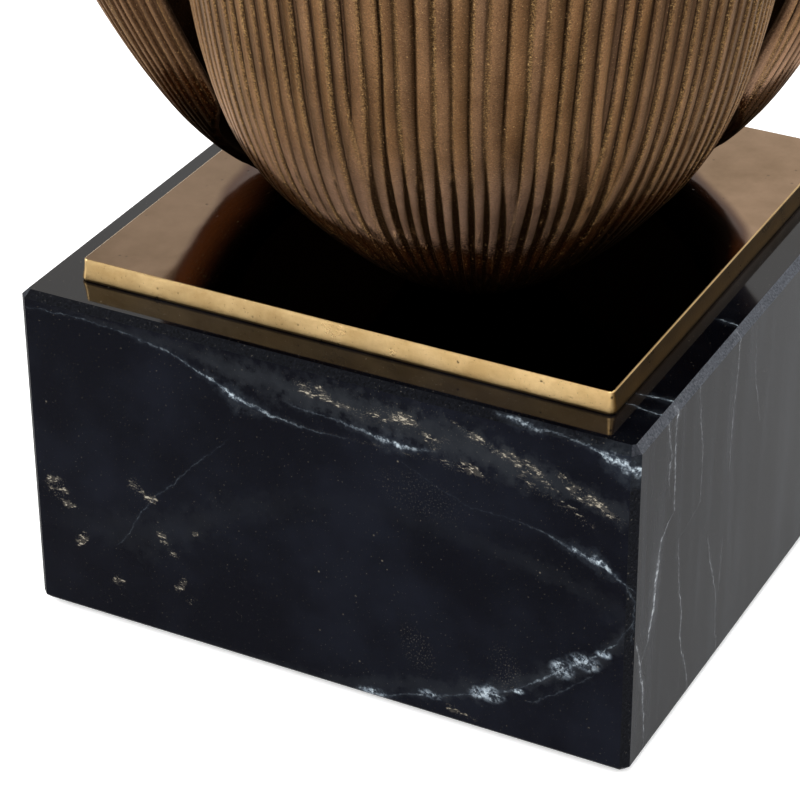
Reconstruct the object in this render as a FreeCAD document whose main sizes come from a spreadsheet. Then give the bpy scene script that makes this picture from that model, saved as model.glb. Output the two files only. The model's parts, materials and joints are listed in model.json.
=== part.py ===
import FreeCAD, Part
import math
import os
import re
import Sketcher
from FreeCAD import Placement, Rotation, Vector

# Table lamp: a bevelled black marble block, a square brass plate on it, three
# cupped and fluted bronze petals round a central tube, and above them a stem,
# a harp, a screw-shell lampholder with a turn switch, a bulb, and a tapered
# drum shade held by a finial.
# Origin: centre of the underside, on the surface the lamp stands on. +Z up.
# -Y is the face of the block seen on the left of the reference view, +X the
# face seen on its right.  All sizes in millimetres.

doc = FreeCAD.newDocument("table_lamp")
sheet = doc.addObject("Spreadsheet::Sheet", "dims")

DIMS = [
    # base
    ("felt_side", 172.0), ("felt_t", 1.2), ("felt_corner", 5.0),
    ("block_w", 180.0), ("block_t", 98.8), ("block_cham", 2.0), ("block_toe", 1.6),
    ("recess_r", 36.0), ("recess_depth", 32.0), ("rod_hole_r", 5.6),
    ("inlet_r", 6.2), ("inlet_up", 17.0),
    ("bush_bore_r", 3.75), ("bush_r", 6.15), ("bush_len", 18.0),
    ("bush_flange_r", 9.5), ("bush_flange_t", 2.5),
    ("plate_w", 156.0), ("plate_t", 6.4), ("plate_corner", 2.2),
    ("plate_round", 0.6), ("plate_under", 0.6), ("rod_clear_r", 5.3),
    # central tube and its nuts
    ("tube_r", 5.0), ("tube_bore_r", 3.5), ("tube_foot", 14.0), ("tube_len", 442.0),
    ("washer_r", 20.0), ("washer_t", 2.5), ("lock_r", 9.2), ("lock_t", 1.6),
    ("nut_flat", 16.0), ("nut_t", 6.0), ("top_washer_r", 12.0), ("top_washer_t", 1.5),
    # flower
    ("petal_turn", 28.7), ("petal_wall", 3.0), ("foot_t", 4.0), ("foot_in_r", 11.0),
    ("clamp_r", 26.0), ("clamp_t", 6.0), ("screw_pitch_r", 19.0), ("screw_r", 2.5),
    ("screw_clear_r", 2.75), ("screw_head_r", 4.25), ("screw_head_t", 5.0),
    ("screw_bite", 5.0), ("tap_depth", 5.6),
    # stem
    ("sleeve_r", 8.0), ("sleeve_bore_r", 5.2), ("sleeve_top", 436.0),
    ("collar_r", 16.0), ("collar_t", 12.0),
    # harp
    ("strap_w", 12.0), ("strap_t", 2.0), ("post_x", 27.0), ("post_r", 1.8), ("post_up", 18.0),
    ("harp_gap", 0.2), ("harp_wire_r", 1.85), ("ferrule_r", 3.4), ("ferrule_len", 26.0),
    ("harp_from", 20.1), ("harp_up", 224.0), ("harp_belly", 58.0),
    ("boss_r", 6.5), ("boss_under", 1.5), ("boss_over", 4.2), ("stud_r", 3.1), ("stud_up", 14.0),
    # lampholder
    ("cap_r", 19.0), ("cap_t", 20.0), ("shell_r", 18.1), ("shell_wall", 0.8), ("shell_low", 14.0),
    ("shell_len", 50.0), ("liner_r", 17.2), ("liner_wall", 0.7), ("liner_low", 18.0),
    ("liner_len", 48.0), ("core_r", 16.3), ("core_low", 18.0), ("core_len", 20.0),
    ("screw_shell_r", 13.8), ("screw_shell_bore_r", 13.2), ("screw_shell_len", 24.0),
    ("spindle_r", 1.7), ("spindle_up", 28.0), ("spindle_from", 3.0), ("spindle_len", 29.0),
    ("knob_from", 22.0), ("knob_len", 14.0), ("knob_r", 7.0),
    # bulb
    ("bulb_thread_r", 13.05), ("bulb_cap_len", 20.0), ("bulb_belly_r", 30.0),
    # shade
    ("shade_low", 442.0), ("shade_len", 270.0), ("shade_foot_r", 228.0), ("shade_head_r", 216.0),
    ("cloth_t", 0.8), ("card_t", 0.6), ("ring_wire_r", 1.6), ("trim_len", 12.0), ("trim_t", 0.5),
    ("spider_drop", 12.2), ("spider_hub_r", 10.0), ("spider_hub_t", 2.0), ("spider_hole_r", 3.4),
    ("finial_bore_r", 3.15), ("finial_gap", 0.3),
]
# petal stations above the plate: height, outermost reach from the lamp's axis,
# offset of the section's centre, half width of the section's ellipse, half
# angle that the petal spans
STATIONS = [
    (0.0, 54.4, 28.0, 22.6, 56.0), (12.0, 74.0, 29.0, 37.2, 60.0), (28.0, 85.4, 28.9, 55.5, 68.5),
    (50.0, 101.6, 32.2, 67.1, 82.0), (80.0, 119.8, 41.7, 72.9, 81.0), (115.0, 135.0, 47.2, 77.0, 81.8),
    (150.0, 144.0, 52.0, 83.0, 82.0), (180.0, 144.0, 52.5, 87.0, 80.5), (210.0, 136.5, 49.5, 84.0, 75.0),
    (240.0, 121.0, 42.5, 75.5, 64.5), (264.0, 102.5, 34.0, 64.5, 50.5), (279.0, 88.0, 27.5, 55.5, 36.0),
    (288.5, 77.6, 22.6, 48.5, 18.0), (291.0, 74.6, 21.2, 46.5, 6.0),
]
KEYS = ("up", "reach", "centre", "half", "span")
for i, row in enumerate(STATIONS):
    for key, number in zip(KEYS, row):
        DIMS.append(("st%02d_%s" % (i, key), number))

NUMBER = {}
for i, (alias, number) in enumerate(DIMS, start=1):
    sheet.set("A%d" % i, alias)
    sheet.set("B%d" % i, repr(float(number)))
    sheet.setAlias("B%d" % i, alias)
doc.recompute()
for alias, _ in DIMS:
    NUMBER[alias] = float(getattr(sheet, alias))

WORD = re.compile(r"[A-Za-z_]\w*")


def val(text):
    """Number of a sum of products of sheet names and plain numbers, such as 'felt_t+block_t*2'."""
    if not isinstance(text, str):
        return float(text)
    total = 0.0
    for sign, term in re.findall(r"([+-]?)([^+-]+)", text.replace(" ", "")):
        product = 1.0
        for factor in term.split("*"):
            product *= NUMBER[factor] if WORD.match(factor) else float(factor)
        total += -product if sign == "-" else product
    return total


def bound(text):
    """The same sum as an expression on the sheet."""
    if not isinstance(text, str):
        return repr(float(text))
    return WORD.sub(lambda found: "dims." + found.group(0), text)


def bind(obj, path, text):
    obj.setExpression(path, bound(text))


SUBPARTS = []


def keep(obj, label):
    obj.Label = label
    SUBPARTS.append(obj)
    return obj


def plane(body, role):
    for feature in body.Origin.OriginFeatures:
        if feature.Role == role:
            return feature
    raise RuntimeError(role)


def new_body(label, up="0", subpart=True):
    body = doc.addObject("PartDesign::Body", label)
    if subpart:
        keep(body, label)
    if up != "0":
        bind(body, "Placement.Base.z", up)
    return body


def new_sketch(body, role, name):
    sketch = body.newObject("Sketcher::SketchObject", name)
    sketch.AttachmentSupport = [(plane(body, role), "")]
    sketch.MapMode = "FlatFace"
    return sketch


def pin(sketch, index, pos, x, y):
    """Fixes one point of a sketch at distances bound to the sheet."""
    for kind, axis, number in (("DistanceX", -2, x), ("DistanceY", -1, y)):
        if abs(val(number)) < 1e-9:
            sketch.addConstraint(Sketcher.Constraint("PointOnObject", index, pos, axis))
        else:
            at = sketch.addConstraint(Sketcher.Constraint(kind, -1, 1, index, pos, val(number)))
            sketch.setExpression("Constraints[%d]" % at, bound(number))


def polygon(sketch, points):
    spots = [Vector(val(x), val(y), 0) for x, y in points]
    count = len(spots)
    for i in range(count):
        sketch.addGeometry(Part.LineSegment(spots[i], spots[(i + 1) % count]), False)
    for i in range(count):
        sketch.addConstraint(Sketcher.Constraint("Coincident", i, 2, (i + 1) % count, 1))
    for i, (x, y) in enumerate(points):
        pin(sketch, i, 1, x, y)


def circle(sketch, x, y, radius):
    at = sketch.addGeometry(Part.Circle(Vector(val(x), val(y), 0), Vector(0, 0, 1), val(radius)), False)
    pin(sketch, at, 3, x, y)
    c = sketch.addConstraint(Sketcher.Constraint("Radius", at, val(radius)))
    sketch.setExpression("Constraints[%d]" % c, bound(radius))


def square(sketch, side):
    """A square centred on the sketch's origin."""
    half = val(side) / 2
    spots = [Vector(-half, -half, 0), Vector(half, -half, 0), Vector(half, half, 0), Vector(-half, half, 0)]
    for i in range(4):
        sketch.addGeometry(Part.LineSegment(spots[i], spots[(i + 1) % 4]), False)
    for i in range(4):
        sketch.addConstraint(Sketcher.Constraint("Coincident", i, 2, (i + 1) % 4, 1))
    for i in (0, 2):
        sketch.addConstraint(Sketcher.Constraint("Horizontal", i))
    for i in (1, 3):
        sketch.addConstraint(Sketcher.Constraint("Vertical", i))
    sketch.addConstraint(Sketcher.Constraint("Symmetric", 0, 1, 2, 1, -1, 1))
    for kind, first in (("DistanceX", 0), ("DistanceY", 1)):
        c = sketch.addConstraint(Sketcher.Constraint(kind, first, 1, first, 2, val(side)))
        sketch.setExpression("Constraints[%d]" % c, bound(side))


def turned(label, points, up="0", subpart=True):
    """A piece turned about its own Z axis from a closed profile of (radius, height) points."""
    body = new_body(label, up, subpart)
    sketch = new_sketch(body, "XZ_Plane", label + "_profile")
    polygon(sketch, points)
    feature = body.newObject("PartDesign::Revolution", label + "_turn")
    feature.Profile = sketch
    feature.ReferenceAxis = (sketch, ["V_Axis"])
    feature.Angle = 360.0
    sketch.Visibility = False
    return body


def pad(body, name, sketch, length):
    feature = body.newObject("PartDesign::Pad", name)
    feature.Profile = sketch
    feature.Length = val(length)
    bind(feature, "Length", length)
    return feature


def pocket(body, name, sketch, length, upward=False, through=False):
    before = body.Shape.Volume
    feature = body.newObject("PartDesign::Pocket", name)
    feature.Profile = sketch
    if through:
        feature.Type = 1
        feature.Midplane = True
    else:
        feature.Length = val(length)
        bind(feature, "Length", length)
        feature.Reversed = upward
    doc.recompute()
    if not body.Shape.Volume < before - 1e-3:
        raise RuntimeError("%s cuts nothing" % name)
    return feature


def edges(body, wanted):
    """Names of the edges of the body's tip for which wanted(list of end points, edge) is true."""
    found = []
    for i, edge in enumerate(body.Tip.Shape.Edges, start=1):
        ends = [v.Point for v in edge.Vertexes]
        if len(ends) == 2 and wanted(ends, edge):
            found.append("Edge%d" % i)
    if not found:
        raise RuntimeError("no edge found on %s" % body.Label)
    return found


def dress(body, kind, name, names, size):
    feature = body.newObject("PartDesign::" + kind, name)
    feature.Base = (body.Tip if body.Tip != feature else feature.BaseFeature, names)
    path = "Radius" if kind == "Fillet" else "Size"
    setattr(feature, path, val(size))
    bind(feature, path, size)
    doc.recompute()
    return feature


def is_vertical(ends, edge):
    return abs(ends[0].x - ends[1].x) < 1e-6 and abs(ends[0].y - ends[1].y) < 1e-6


def shape_part(label, shape, where=None):
    """A piece whose shape comes from surfaces or sweeps that no primitive makes."""
    obj = doc.addObject("Part::Feature", label)
    obj.Shape = shape
    if where is not None:
        obj.Placement = where
    return keep(obj, label)


# ---------------------------------------------------------------- base block
felt = new_body("felt_pad")
sk = new_sketch(felt, "XY_Plane", "felt_outline")
square(sk, "felt_side")
pad(felt, "felt_sheet", sk, "felt_t")
doc.recompute()
dress(felt, "Fillet", "felt_corners", edges(felt, is_vertical), "felt_corner")

block = new_body("marble_base", "felt_t")
sk = new_sketch(block, "XY_Plane", "block_outline")
square(sk, "block_w")
pad(block, "block_stone", sk, "block_t")
doc.recompute()
half_block = NUMBER["block_w"] / 2


def outer(point):
    return abs(abs(point.x) - half_block) < 1e-6 or abs(abs(point.y) - half_block) < 1e-6


dress(block, "Chamfer", "block_arris", edges(block, is_vertical), "block_cham")
top = NUMBER["block_t"]
dress(block, "Chamfer", "block_top_arris",
      edges(block, lambda ends, edge: all(abs(p.z - top) < 1e-6 for p in ends)), "block_cham")
dress(block, "Chamfer", "block_toe_arris",
      edges(block, lambda ends, edge: all(abs(p.z) < 1e-6 for p in ends)), "block_toe")
sk = new_sketch(block, "XY_Plane", "recess_circle")
circle(sk, "0", "0", "recess_r")
pocket(block, "nut_recess", sk, "recess_depth", upward=True)
sk = new_sketch(block, "XY_Plane", "rod_circle")
circle(sk, "0", "0", "rod_hole_r")
pocket(block, "rod_hole", sk, "block_t", upward=True)
sk = new_sketch(block, "XZ_Plane", "inlet_circle")
circle(sk, "0", "inlet_up", "inlet_r")
pocket(block, "cable_bore", sk, "block_w*0.5+2", upward=False)
if block.Shape.BoundBox.YMax < half_block - 1e-3:
    raise RuntimeError("block lost its back face")

bush = turned("cable_bushing", [
    ("bush_bore_r", "0"), ("bush_r", "0"), ("bush_r", "bush_len"), ("bush_flange_r", "bush_len"),
    ("bush_flange_r-0.6", "bush_len+bush_flange_t"), ("bush_bore_r", "bush_len+bush_flange_t")])
bush.Placement = Placement(Vector(0, val("block_w*0.5-bush_len"), val("felt_t+inlet_up")),
                           Rotation(Vector(1, 0, 0), -90))
bind(bush, "Placement.Base.y", "block_w*0.5-bush_len")
bind(bush, "Placement.Base.z", "felt_t+inlet_up")

# ---------------------------------------------------------------- brass plate
plate_up = "felt_t+block_t"
plate = new_body("brass_plate", plate_up)
sk = new_sketch(plate, "XY_Plane", "plate_outline")
square(sk, "plate_w")
pad(plate, "plate_sheet", sk, "plate_t")
doc.recompute()
dress(plate, "Fillet", "plate_corners", edges(plate, is_vertical), "plate_corner")
thick = NUMBER["plate_t"]
dress(plate, "Fillet", "plate_top_round",
      edges(plate, lambda ends, edge: all(abs(p.z - thick) < 1e-6 for p in ends)), "plate_round")
dress(plate, "Fillet", "plate_under_round",
      edges(plate, lambda ends, edge: all(abs(p.z) < 1e-6 for p in ends)), "plate_under")
sk = new_sketch(plate, "XY_Plane", "plate_rod_circle")
circle(sk, "0", "0", "rod_clear_r")
pocket(plate, "plate_rod_hole", sk, "plate_t", upward=True)


def screw_angle(index):
    """Direction, about +Z from +X, of a petal's middle and of its screw."""
    return math.radians(NUMBER["petal_turn"] - 90.0 + 120.0 * index)


def tapped(body, name, radius, length, lift=0.0):
    """Three vertical round holes on the petals' centre lines, cut from a height of lift up."""
    sk = new_sketch(body, "XY_Plane", name + "_circles")
    if lift:
        sk.AttachmentOffset = Placement(Vector(0, 0, lift), Rotation())
    for i in range(3):
        a = screw_angle(i)
        r = NUMBER["screw_pitch_r"]
        at = sk.addGeometry(Part.Circle(Vector(r * math.cos(a), r * math.sin(a), 0), Vector(0, 0, 1), NUMBER[radius]), False)
        c = sk.addConstraint(Sketcher.Constraint("Radius", at, NUMBER[radius]))
        sk.setExpression("Constraints[%d]" % c, bound(radius))
        sk.addConstraint(Sketcher.Constraint("DistanceX", -1, 1, at, 3, r * math.cos(a)))
        sk.addConstraint(Sketcher.Constraint("DistanceY", -1, 1, at, 3, r * math.sin(a)))
    pocket(body, name, sk, length, upward=True)


tapped(plate, "plate_taps", "screw_r", "tap_depth", NUMBER["plate_t"] - NUMBER["tap_depth"])

flower_up = "felt_t+block_t+plate_t"
flower_z = val(flower_up)


# ---------------------------------------------------------------- petals
def spline(xs, ys):
    """Natural cubic through the stations, as a function of height."""
    n = len(xs)
    gap = [xs[i + 1] - xs[i] for i in range(n - 1)]
    low = [0.0] * n
    mid = [1.0] * n
    high = [0.0] * n
    rhs = [0.0] * n
    for i in range(1, n - 1):
        low[i], mid[i], high[i] = gap[i - 1], 2 * (gap[i - 1] + gap[i]), gap[i]
        rhs[i] = 6 * ((ys[i + 1] - ys[i]) / gap[i] - (ys[i] - ys[i - 1]) / gap[i - 1])
    for i in range(1, n):
        factor = low[i] / mid[i - 1]
        mid[i] -= factor * high[i - 1]
        rhs[i] -= factor * rhs[i - 1]
    bend = [0.0] * n
    bend[-1] = rhs[-1] / mid[-1]
    for i in range(n - 2, -1, -1):
        bend[i] = (rhs[i] - high[i] * bend[i + 1]) / mid[i]

    def at(x):
        i = 0
        while i < n - 2 and x > xs[i + 1]:
            i += 1
        g = gap[i]
        a, b = (xs[i + 1] - x) / g, (x - xs[i]) / g
        return a * ys[i] + b * ys[i + 1] + ((a ** 3 - a) * bend[i] + (b ** 3 - b) * bend[i + 1]) * g * g / 6

    return at


def easing(xs, ys):
    """Monotone cubic through the stations, used for the spans so that the rim never ripples."""
    n = len(xs)
    rise = [(ys[i + 1] - ys[i]) / (xs[i + 1] - xs[i]) for i in range(n - 1)]
    lean = [rise[0]] + [0.0] * (n - 2) + [rise[-1]]
    for i in range(1, n - 1):
        if rise[i - 1] * rise[i] > 0:
            lean[i] = 2 * rise[i - 1] * rise[i] / (rise[i - 1] + rise[i])

    def at(x):
        i = 0
        while i < n - 2 and x > xs[i + 1]:
            i += 1
        g = xs[i + 1] - xs[i]
        u = (x - xs[i]) / g
        return (ys[i] * (1 + 2 * u) * (1 - u) ** 2 + lean[i] * g * u * (1 - u) ** 2
                + ys[i + 1] * u * u * (3 - 2 * u) + lean[i + 1] * g * u * u * (u - 1))

    return at


count = len(STATIONS)
ups = [NUMBER["st%02d_up" % i] for i in range(count)]
reach, centre, half_width = (spline(ups, [NUMBER["st%02d_%s" % (i, key)] for i in range(count)])
                             for key in ("reach", "centre", "half"))
span = easing(ups, [NUMBER["st%02d_span" % i] for i in range(count)])
FLOWER_TOP = ups[-1]


def petal_point(up, share, lift=0.0):
    """Point of the petal's outer face, in the petal's own frame: +X outwards, share from -1 to 1 across."""
    angle = math.radians(span(max(up, 0.0))) * share
    c = centre(up) if up >= 0 else centre(0.0) + up * 0.35
    r = reach(up) if up >= 0 else reach(0.0) + up * 1.6
    w = half_width(up) if up >= 0 else half_width(0.0) + up * 1.2
    return Vector(c + (r - c) * math.cos(angle), w * math.sin(angle), up)


def petal_normal(up, share):
    du = petal_point(up + 0.05, share) - petal_point(up - 0.05, share)
    step = 0.002
    a = petal_point(up, share + step)
    b = petal_point(up, share - step)
    normal = (a - b).cross(du)
    normal.normalize()
    return normal


def petal_solid():
    wall = NUMBER["petal_wall"]
    rows = [-5.0, -2.0, 2.0, 7.0, 12.0, 19.0, 28.0, 38.0, 50.0, 64.0, 80.0, 97.0, 115.0, 132.0, 150.0, 165.0, 180.0,
            196.0, 210.0, 226.0, 240.0, 253.0, 264.0, 272.0, 279.0, 284.5, 288.5, 290.95]
    shares = [-1.0 + 2.0 * j / 20 for j in range(21)]
    outer_grid = [[petal_point(z, t) for t in shares] for z in rows]
    inner_grid = [[petal_point(z, t) - petal_normal(z, t) * wall for t in shares] for z in rows]
    faces = []
    rims = []
    for grid in (outer_grid, inner_grid):
        surface = Part.BSplineSurface()
        surface.interpolate(grid)
        faces.append(surface.toShape())
        low_u, high_u, low_v, high_v = surface.bounds()
        rims.append([surface.uIso(low_u), surface.uIso(high_u), surface.vIso(low_v), surface.vIso(high_v)])
    for a, b in zip(rims[0], rims[1]):
        faces.append(Part.makeRuledSurface(a.toShape(), b.toShape()))
    shell = Part.Shell(faces)
    shell.sewShape()
    solid = Part.Solid(shell)
    if solid.Volume < 0:
        solid.reverse()
    box = Part.makeBox(400, 400, 400, Vector(-200, -200, 0))
    solid = solid.common(box)
    # foot: the floor of the cup, flat on the plate, with its screw hole
    thick = NUMBER["foot_t"]
    outline = []
    for t in [-1.0 + 2.0 * j / 16 for j in range(17)]:
        p = petal_point(0.0, t) - petal_normal(0.0, t) * 1.6
        outline.append(Vector(p.x, p.y, 0))
    inner_r = NUMBER["foot_in_r"]
    bow = Part.BSplineCurve()
    bow.interpolate(outline)
    limit = math.radians(56.0)
    a = Vector(inner_r * math.cos(limit), inner_r * math.sin(limit), 0)
    b = Vector(inner_r, 0, 0)
    c = Vector(inner_r * math.cos(limit), -inner_r * math.sin(limit), 0)
    wire = Part.Wire([bow.toShape(), Part.makeLine(outline[-1], a), Part.Arc(a, b, c).toShape(),
                      Part.makeLine(c, outline[0])])
    foot = Part.Face(wire).extrude(Vector(0, 0, thick))
    hole = Part.makeCylinder(NUMBER["screw_clear_r"], thick * 3, Vector(NUMBER["screw_pitch_r"], 0, -thick))
    return solid.fuse(foot.cut(hole)).removeSplitter()


petal = petal_solid()
if len(petal.Solids) == 1:
    petal = petal.Solids[0]
for i, name in enumerate(("petal_front", "petal_right", "petal_left")):
    shape_part(name, petal.copy(), Placement(Vector(0, 0, flower_z), Rotation(Vector(0, 0, 1), math.degrees(screw_angle(i)))))

# ---------------------------------------------------------------- clamp and fasteners
clamp_up = flower_up + "+foot_t"
clamp = turned("petal_clamp", [
    ("rod_clear_r", "0"), ("clamp_r-0.8", "0"), ("clamp_r", "0.8"), ("clamp_r", "clamp_t-1.2"),
    ("clamp_r-1.2", "clamp_t"), ("rod_clear_r", "clamp_t")], clamp_up)
doc.recompute()
tapped(clamp, "clamp_holes", "screw_clear_r", "clamp_t")

seat_z = val(clamp_up + "+clamp_t")
bite = val("clamp_t+foot_t+screw_bite")
one = Part.makeCylinder(NUMBER["screw_head_r"], NUMBER["screw_head_t"])
one = one.makeChamfer(0.5, [e for e in one.Edges if len(e.Vertexes) == 1 and e.BoundBox.ZMin > 1])
hexagon = Part.makePolygon([Vector(2.31 * math.cos(math.radians(60 * k)), 2.31 * math.sin(math.radians(60 * k)),
                                   NUMBER["screw_head_t"]) for k in range(7)])
one = one.cut(Part.Face(hexagon).extrude(Vector(0, 0, -2.6)))
one = one.fuse(Part.makeCylinder(NUMBER["screw_r"], bite, Vector(0, 0, -bite))).removeSplitter()
screws = []
for i in range(3):
    a = screw_angle(i)
    copy = one.copy()
    copy.Placement = Placement(Vector(NUMBER["screw_pitch_r"] * math.cos(a), NUMBER["screw_pitch_r"] * math.sin(a), seat_z), Rotation())
    screws.append(copy)
shape_part("petal_screws", Part.makeCompound(screws))


def hex_nut(label, up):
    prism = doc.addObject("Part::Prism", label + "_hexagon")
    prism.Polygon = 6
    bind(prism, "Circumradius", "nut_flat*0.57735")
    bind(prism, "Height", "nut_t")
    dome = doc.addObject("Part::Cone", label + "_crown")
    bind(dome, "Radius1", "nut_flat*0.57735+nut_t-0.9")
    bind(dome, "Radius2", "nut_flat*0.57735-0.9")
    bind(dome, "Height", "nut_t")
    crown = doc.addObject("Part::Common", label + "_crowned")
    crown.Base, crown.Tool = prism, dome
    bore = doc.addObject("Part::Cylinder", label + "_bore")
    bind(bore, "Radius", "tube_r")
    bind(bore, "Height", "nut_t")
    cut = doc.addObject("Part::Cut", label)
    cut.Base, cut.Tool = crown, bore
    bind(cut, "Placement.Base.z", up)
    return keep(cut, label)


def ring(label, outer_r, inner_r, height, up, keep_it=True):
    big = doc.addObject("Part::Cylinder", label + "_disc")
    bind(big, "Radius", outer_r)
    bind(big, "Height", height)
    small = doc.addObject("Part::Cylinder", label + "_eye")
    bind(small, "Radius", inner_r)
    bind(small, "Height", height)
    cut = doc.addObject("Part::Cut", label)
    cut.Base, cut.Tool = big, small
    if keep_it:
        bind(cut, "Placement.Base.z", up)
        keep(cut, label)
    return cut


recess_top = "felt_t+recess_depth"
ring("lower_washer", "washer_r", "rod_clear_r", "washer_t", recess_top + "-washer_t")
whole = ring("lock_washer_ring", "lock_r", "rod_clear_r", "lock_t", "0", keep_it=False)
slot = doc.addObject("Part::Box", "lock_washer_gap")
bind(slot, "Length", "lock_r+1")
bind(slot, "Width", "lock_t")
bind(slot, "Height", "lock_t*2")
bind(slot, "Placement.Base.z", "0-lock_t*0.5")
lock = doc.addObject("Part::Cut", "lock_washer")
lock.Base, lock.Tool = whole, slot
bind(lock, "Placement.Base.z", recess_top + "-washer_t-lock_t")
keep(lock, "lock_washer")
hex_nut("lower_nut", recess_top + "-washer_t-lock_t-nut_t")
ring("upper_washer", "top_washer_r", "rod_clear_r", "top_washer_t", clamp_up + "+clamp_t")
hex_nut("upper_nut", clamp_up + "+clamp_t+top_washer_t")

turned("threaded_tube", [
    ("tube_bore_r", "0"), ("tube_r-0.5", "0"), ("tube_r", "0.5"), ("tube_r", "tube_len-0.5"),
    ("tube_r-0.5", "tube_len"), ("tube_bore_r", "tube_len")], "tube_foot")

sleeve_up = clamp_up + "+clamp_t+top_washer_t+nut_t"
turned("stem_sleeve", [
    ("sleeve_bore_r", "0"), ("sleeve_r", "0"), ("sleeve_r", "sleeve_top-" + sleeve_up.replace("+", "-")),
    ("sleeve_bore_r", "sleeve_top-" + sleeve_up.replace("+", "-"))], sleeve_up)

turned("neck_collar", [
    ("sleeve_bore_r", "0"), ("collar_r-3.2", "0"), ("collar_r-1.2", "0.6"), ("collar_r", "2.2"),
    ("collar_r", "4"), ("collar_r-1.4", "5.6"), ("collar_r-4.6", "6.6"), ("collar_r-5.6", "8"),
    ("collar_r-5.4", "collar_t-1.6"), ("collar_r-4.4", "collar_t"), ("sleeve_bore_r", "collar_t")], "sleeve_top")

# ---------------------------------------------------------------- harp saddle
saddle_up = "sleeve_top+collar_t"
strap = doc.addObject("Part::Box", "strap_bar")
bind(strap, "Length", "post_x*2")
bind(strap, "Width", "strap_w")
bind(strap, "Height", "strap_t")
bind(strap, "Placement.Base.x", "0-post_x")
bind(strap, "Placement.Base.y", "0-strap_w*0.5")
pieces = [strap]
for side, word in ((-1, "left"), (1, "right")):
    end = doc.addObject("Part::Cylinder", "strap_end_" + word)
    bind(end, "Radius", "strap_w*0.5")
    bind(end, "Height", "strap_t")
    post = doc.addObject("Part::Cylinder", "strap_post_" + word)
    bind(post, "Radius", "post_r")
    bind(post, "Height", "strap_t+post_up")
    for obj in (end, post):
        bind(obj, "Placement.Base.x", "post_x" if side > 0 else "0-post_x")
        pieces.append(obj)
joined = doc.addObject("Part::MultiFuse", "strap_whole")
joined.Shapes = pieces
eye = doc.addObject("Part::Cylinder", "strap_eye")
bind(eye, "Radius", "tube_r")
bind(eye, "Height", "strap_t")
saddle = doc.addObject("Part::Cut", "harp_saddle")
saddle.Base, saddle.Tool = joined, eye
bind(saddle, "Placement.Base.z", saddle_up)
keep(saddle, "harp_saddle")

# ---------------------------------------------------------------- lampholder
holder_up = saddle_up + "+strap_t"
turned("socket_cap", [
    ("tube_r", "0"), ("12", "0"), ("15.4", "1.6"), ("17.8", "4.6"), ("cap_r", "9"), ("cap_r", "cap_t-0.6"),
    ("cap_r-0.2", "cap_t"), ("cap_r-0.8", "cap_t"), ("cap_r-0.8", "9.4"), ("16.9", "5.4"), ("14.8", "2.8"),
    ("11.6", "1.2"), ("8", "1.2"), ("8", "6"), ("tube_r", "6")], holder_up)
shell = turned("socket_shell", [
    ("shell_r-shell_wall", "0"), ("shell_r", "0"), ("shell_r", "shell_len-1.2"), ("shell_r+0.5", "shell_len-0.6"),
    ("shell_r", "shell_len"), ("shell_r-shell_wall", "shell_len")], holder_up + "+shell_low")
liner = turned("socket_liner", [
    ("liner_r-liner_wall", "0"), ("liner_r", "0"), ("liner_r", "liner_len"), ("liner_r-liner_wall", "liner_len")],
    holder_up + "+liner_low")
core = turned("socket_core", [
    ("0", "0"), ("core_r-1", "0"), ("core_r", "1"), ("core_r", "core_len"), ("0", "core_len")], holder_up + "+core_low")
doc.recompute()


def side_hole(body, name, radius, height, length):
    """Round hole from the axis out through the -Y side."""
    sk = new_sketch(body, "XZ_Plane", name + "_circle")
    circle(sk, "0", height, radius)
    pocket(body, name, sk, length, upward=True)


side_hole(shell, "shell_side_hole", "spindle_r+0.6", "spindle_up-shell_low", "shell_r+2")
side_hole(liner, "liner_side_hole", "spindle_r+0.6", "spindle_up-liner_low", "shell_r+2")
side_hole(core, "core_side_hole", "spindle_r+0.05", "spindle_up-core_low", "shell_r+2")

turned("screw_shell", [
    ("5", "0"), ("screw_shell_r", "0"), ("screw_shell_r", "screw_shell_len"), ("screw_shell_bore_r", "screw_shell_len"),
    ("screw_shell_bore_r", "0.8"), ("5", "0.8")], holder_up + "+core_low+core_len")
contact_up = holder_up + "+core_low+core_len"
tongue = Part.makeBox(9, 5, 0.7, Vector(-4.5, -2.5, 0)).common(Part.makeCylinder(4.6, 0.7))
tongue = tongue.fuse(Part.makeCone(2.4, 1.6, 1.6, Vector(0, 0, 0.7))).removeSplitter()
shape_part("centre_contact", tongue, Placement(Vector(0, 0, val(contact_up)), Rotation()))
terminals = []
for y in (-9.0, 9.0):
    t = Part.makeCylinder(3.2, 2.2, Vector(8.0, y, -2.2))
    terminals.append(t.cut(Part.makeBox(7, 0.9, 1.0, Vector(4.5, y - 0.45, -2.2))))
terminal_set = Part.makeCompound(terminals)
shape_part("terminal_screws", terminal_set, Placement(Vector(0, 0, val(holder_up + "+core_low")), Rotation()))

spindle_z = holder_up + "+spindle_up"
spindle = turned("switch_spindle", [
    ("0", "0"), ("spindle_r", "0"), ("spindle_r", "spindle_len"), ("0", "spindle_len")])
knob = turned("switch_knob", [
    ("spindle_r", "0"), ("knob_r-1.6", "0"), ("knob_r-1", "0.6"), ("knob_r-1", "2.4"), ("knob_r", "3.2"),
    ("knob_r", "knob_len-1.6"), ("knob_r-1.6", "knob_len"), ("0", "knob_len"), ("0", "spindle_len+spindle_from-knob_from"),
    ("spindle_r", "spindle_len+spindle_from-knob_from")])
for obj, start in ((spindle, "0-spindle_from"), (knob, "0-knob_from")):
    obj.Placement = Placement(Vector(0, val(start), val(spindle_z)), Rotation(Vector(1, 0, 0), 90))
    bind(obj, "Placement.Base.y", start)
    bind(obj, "Placement.Base.z", spindle_z)

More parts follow.
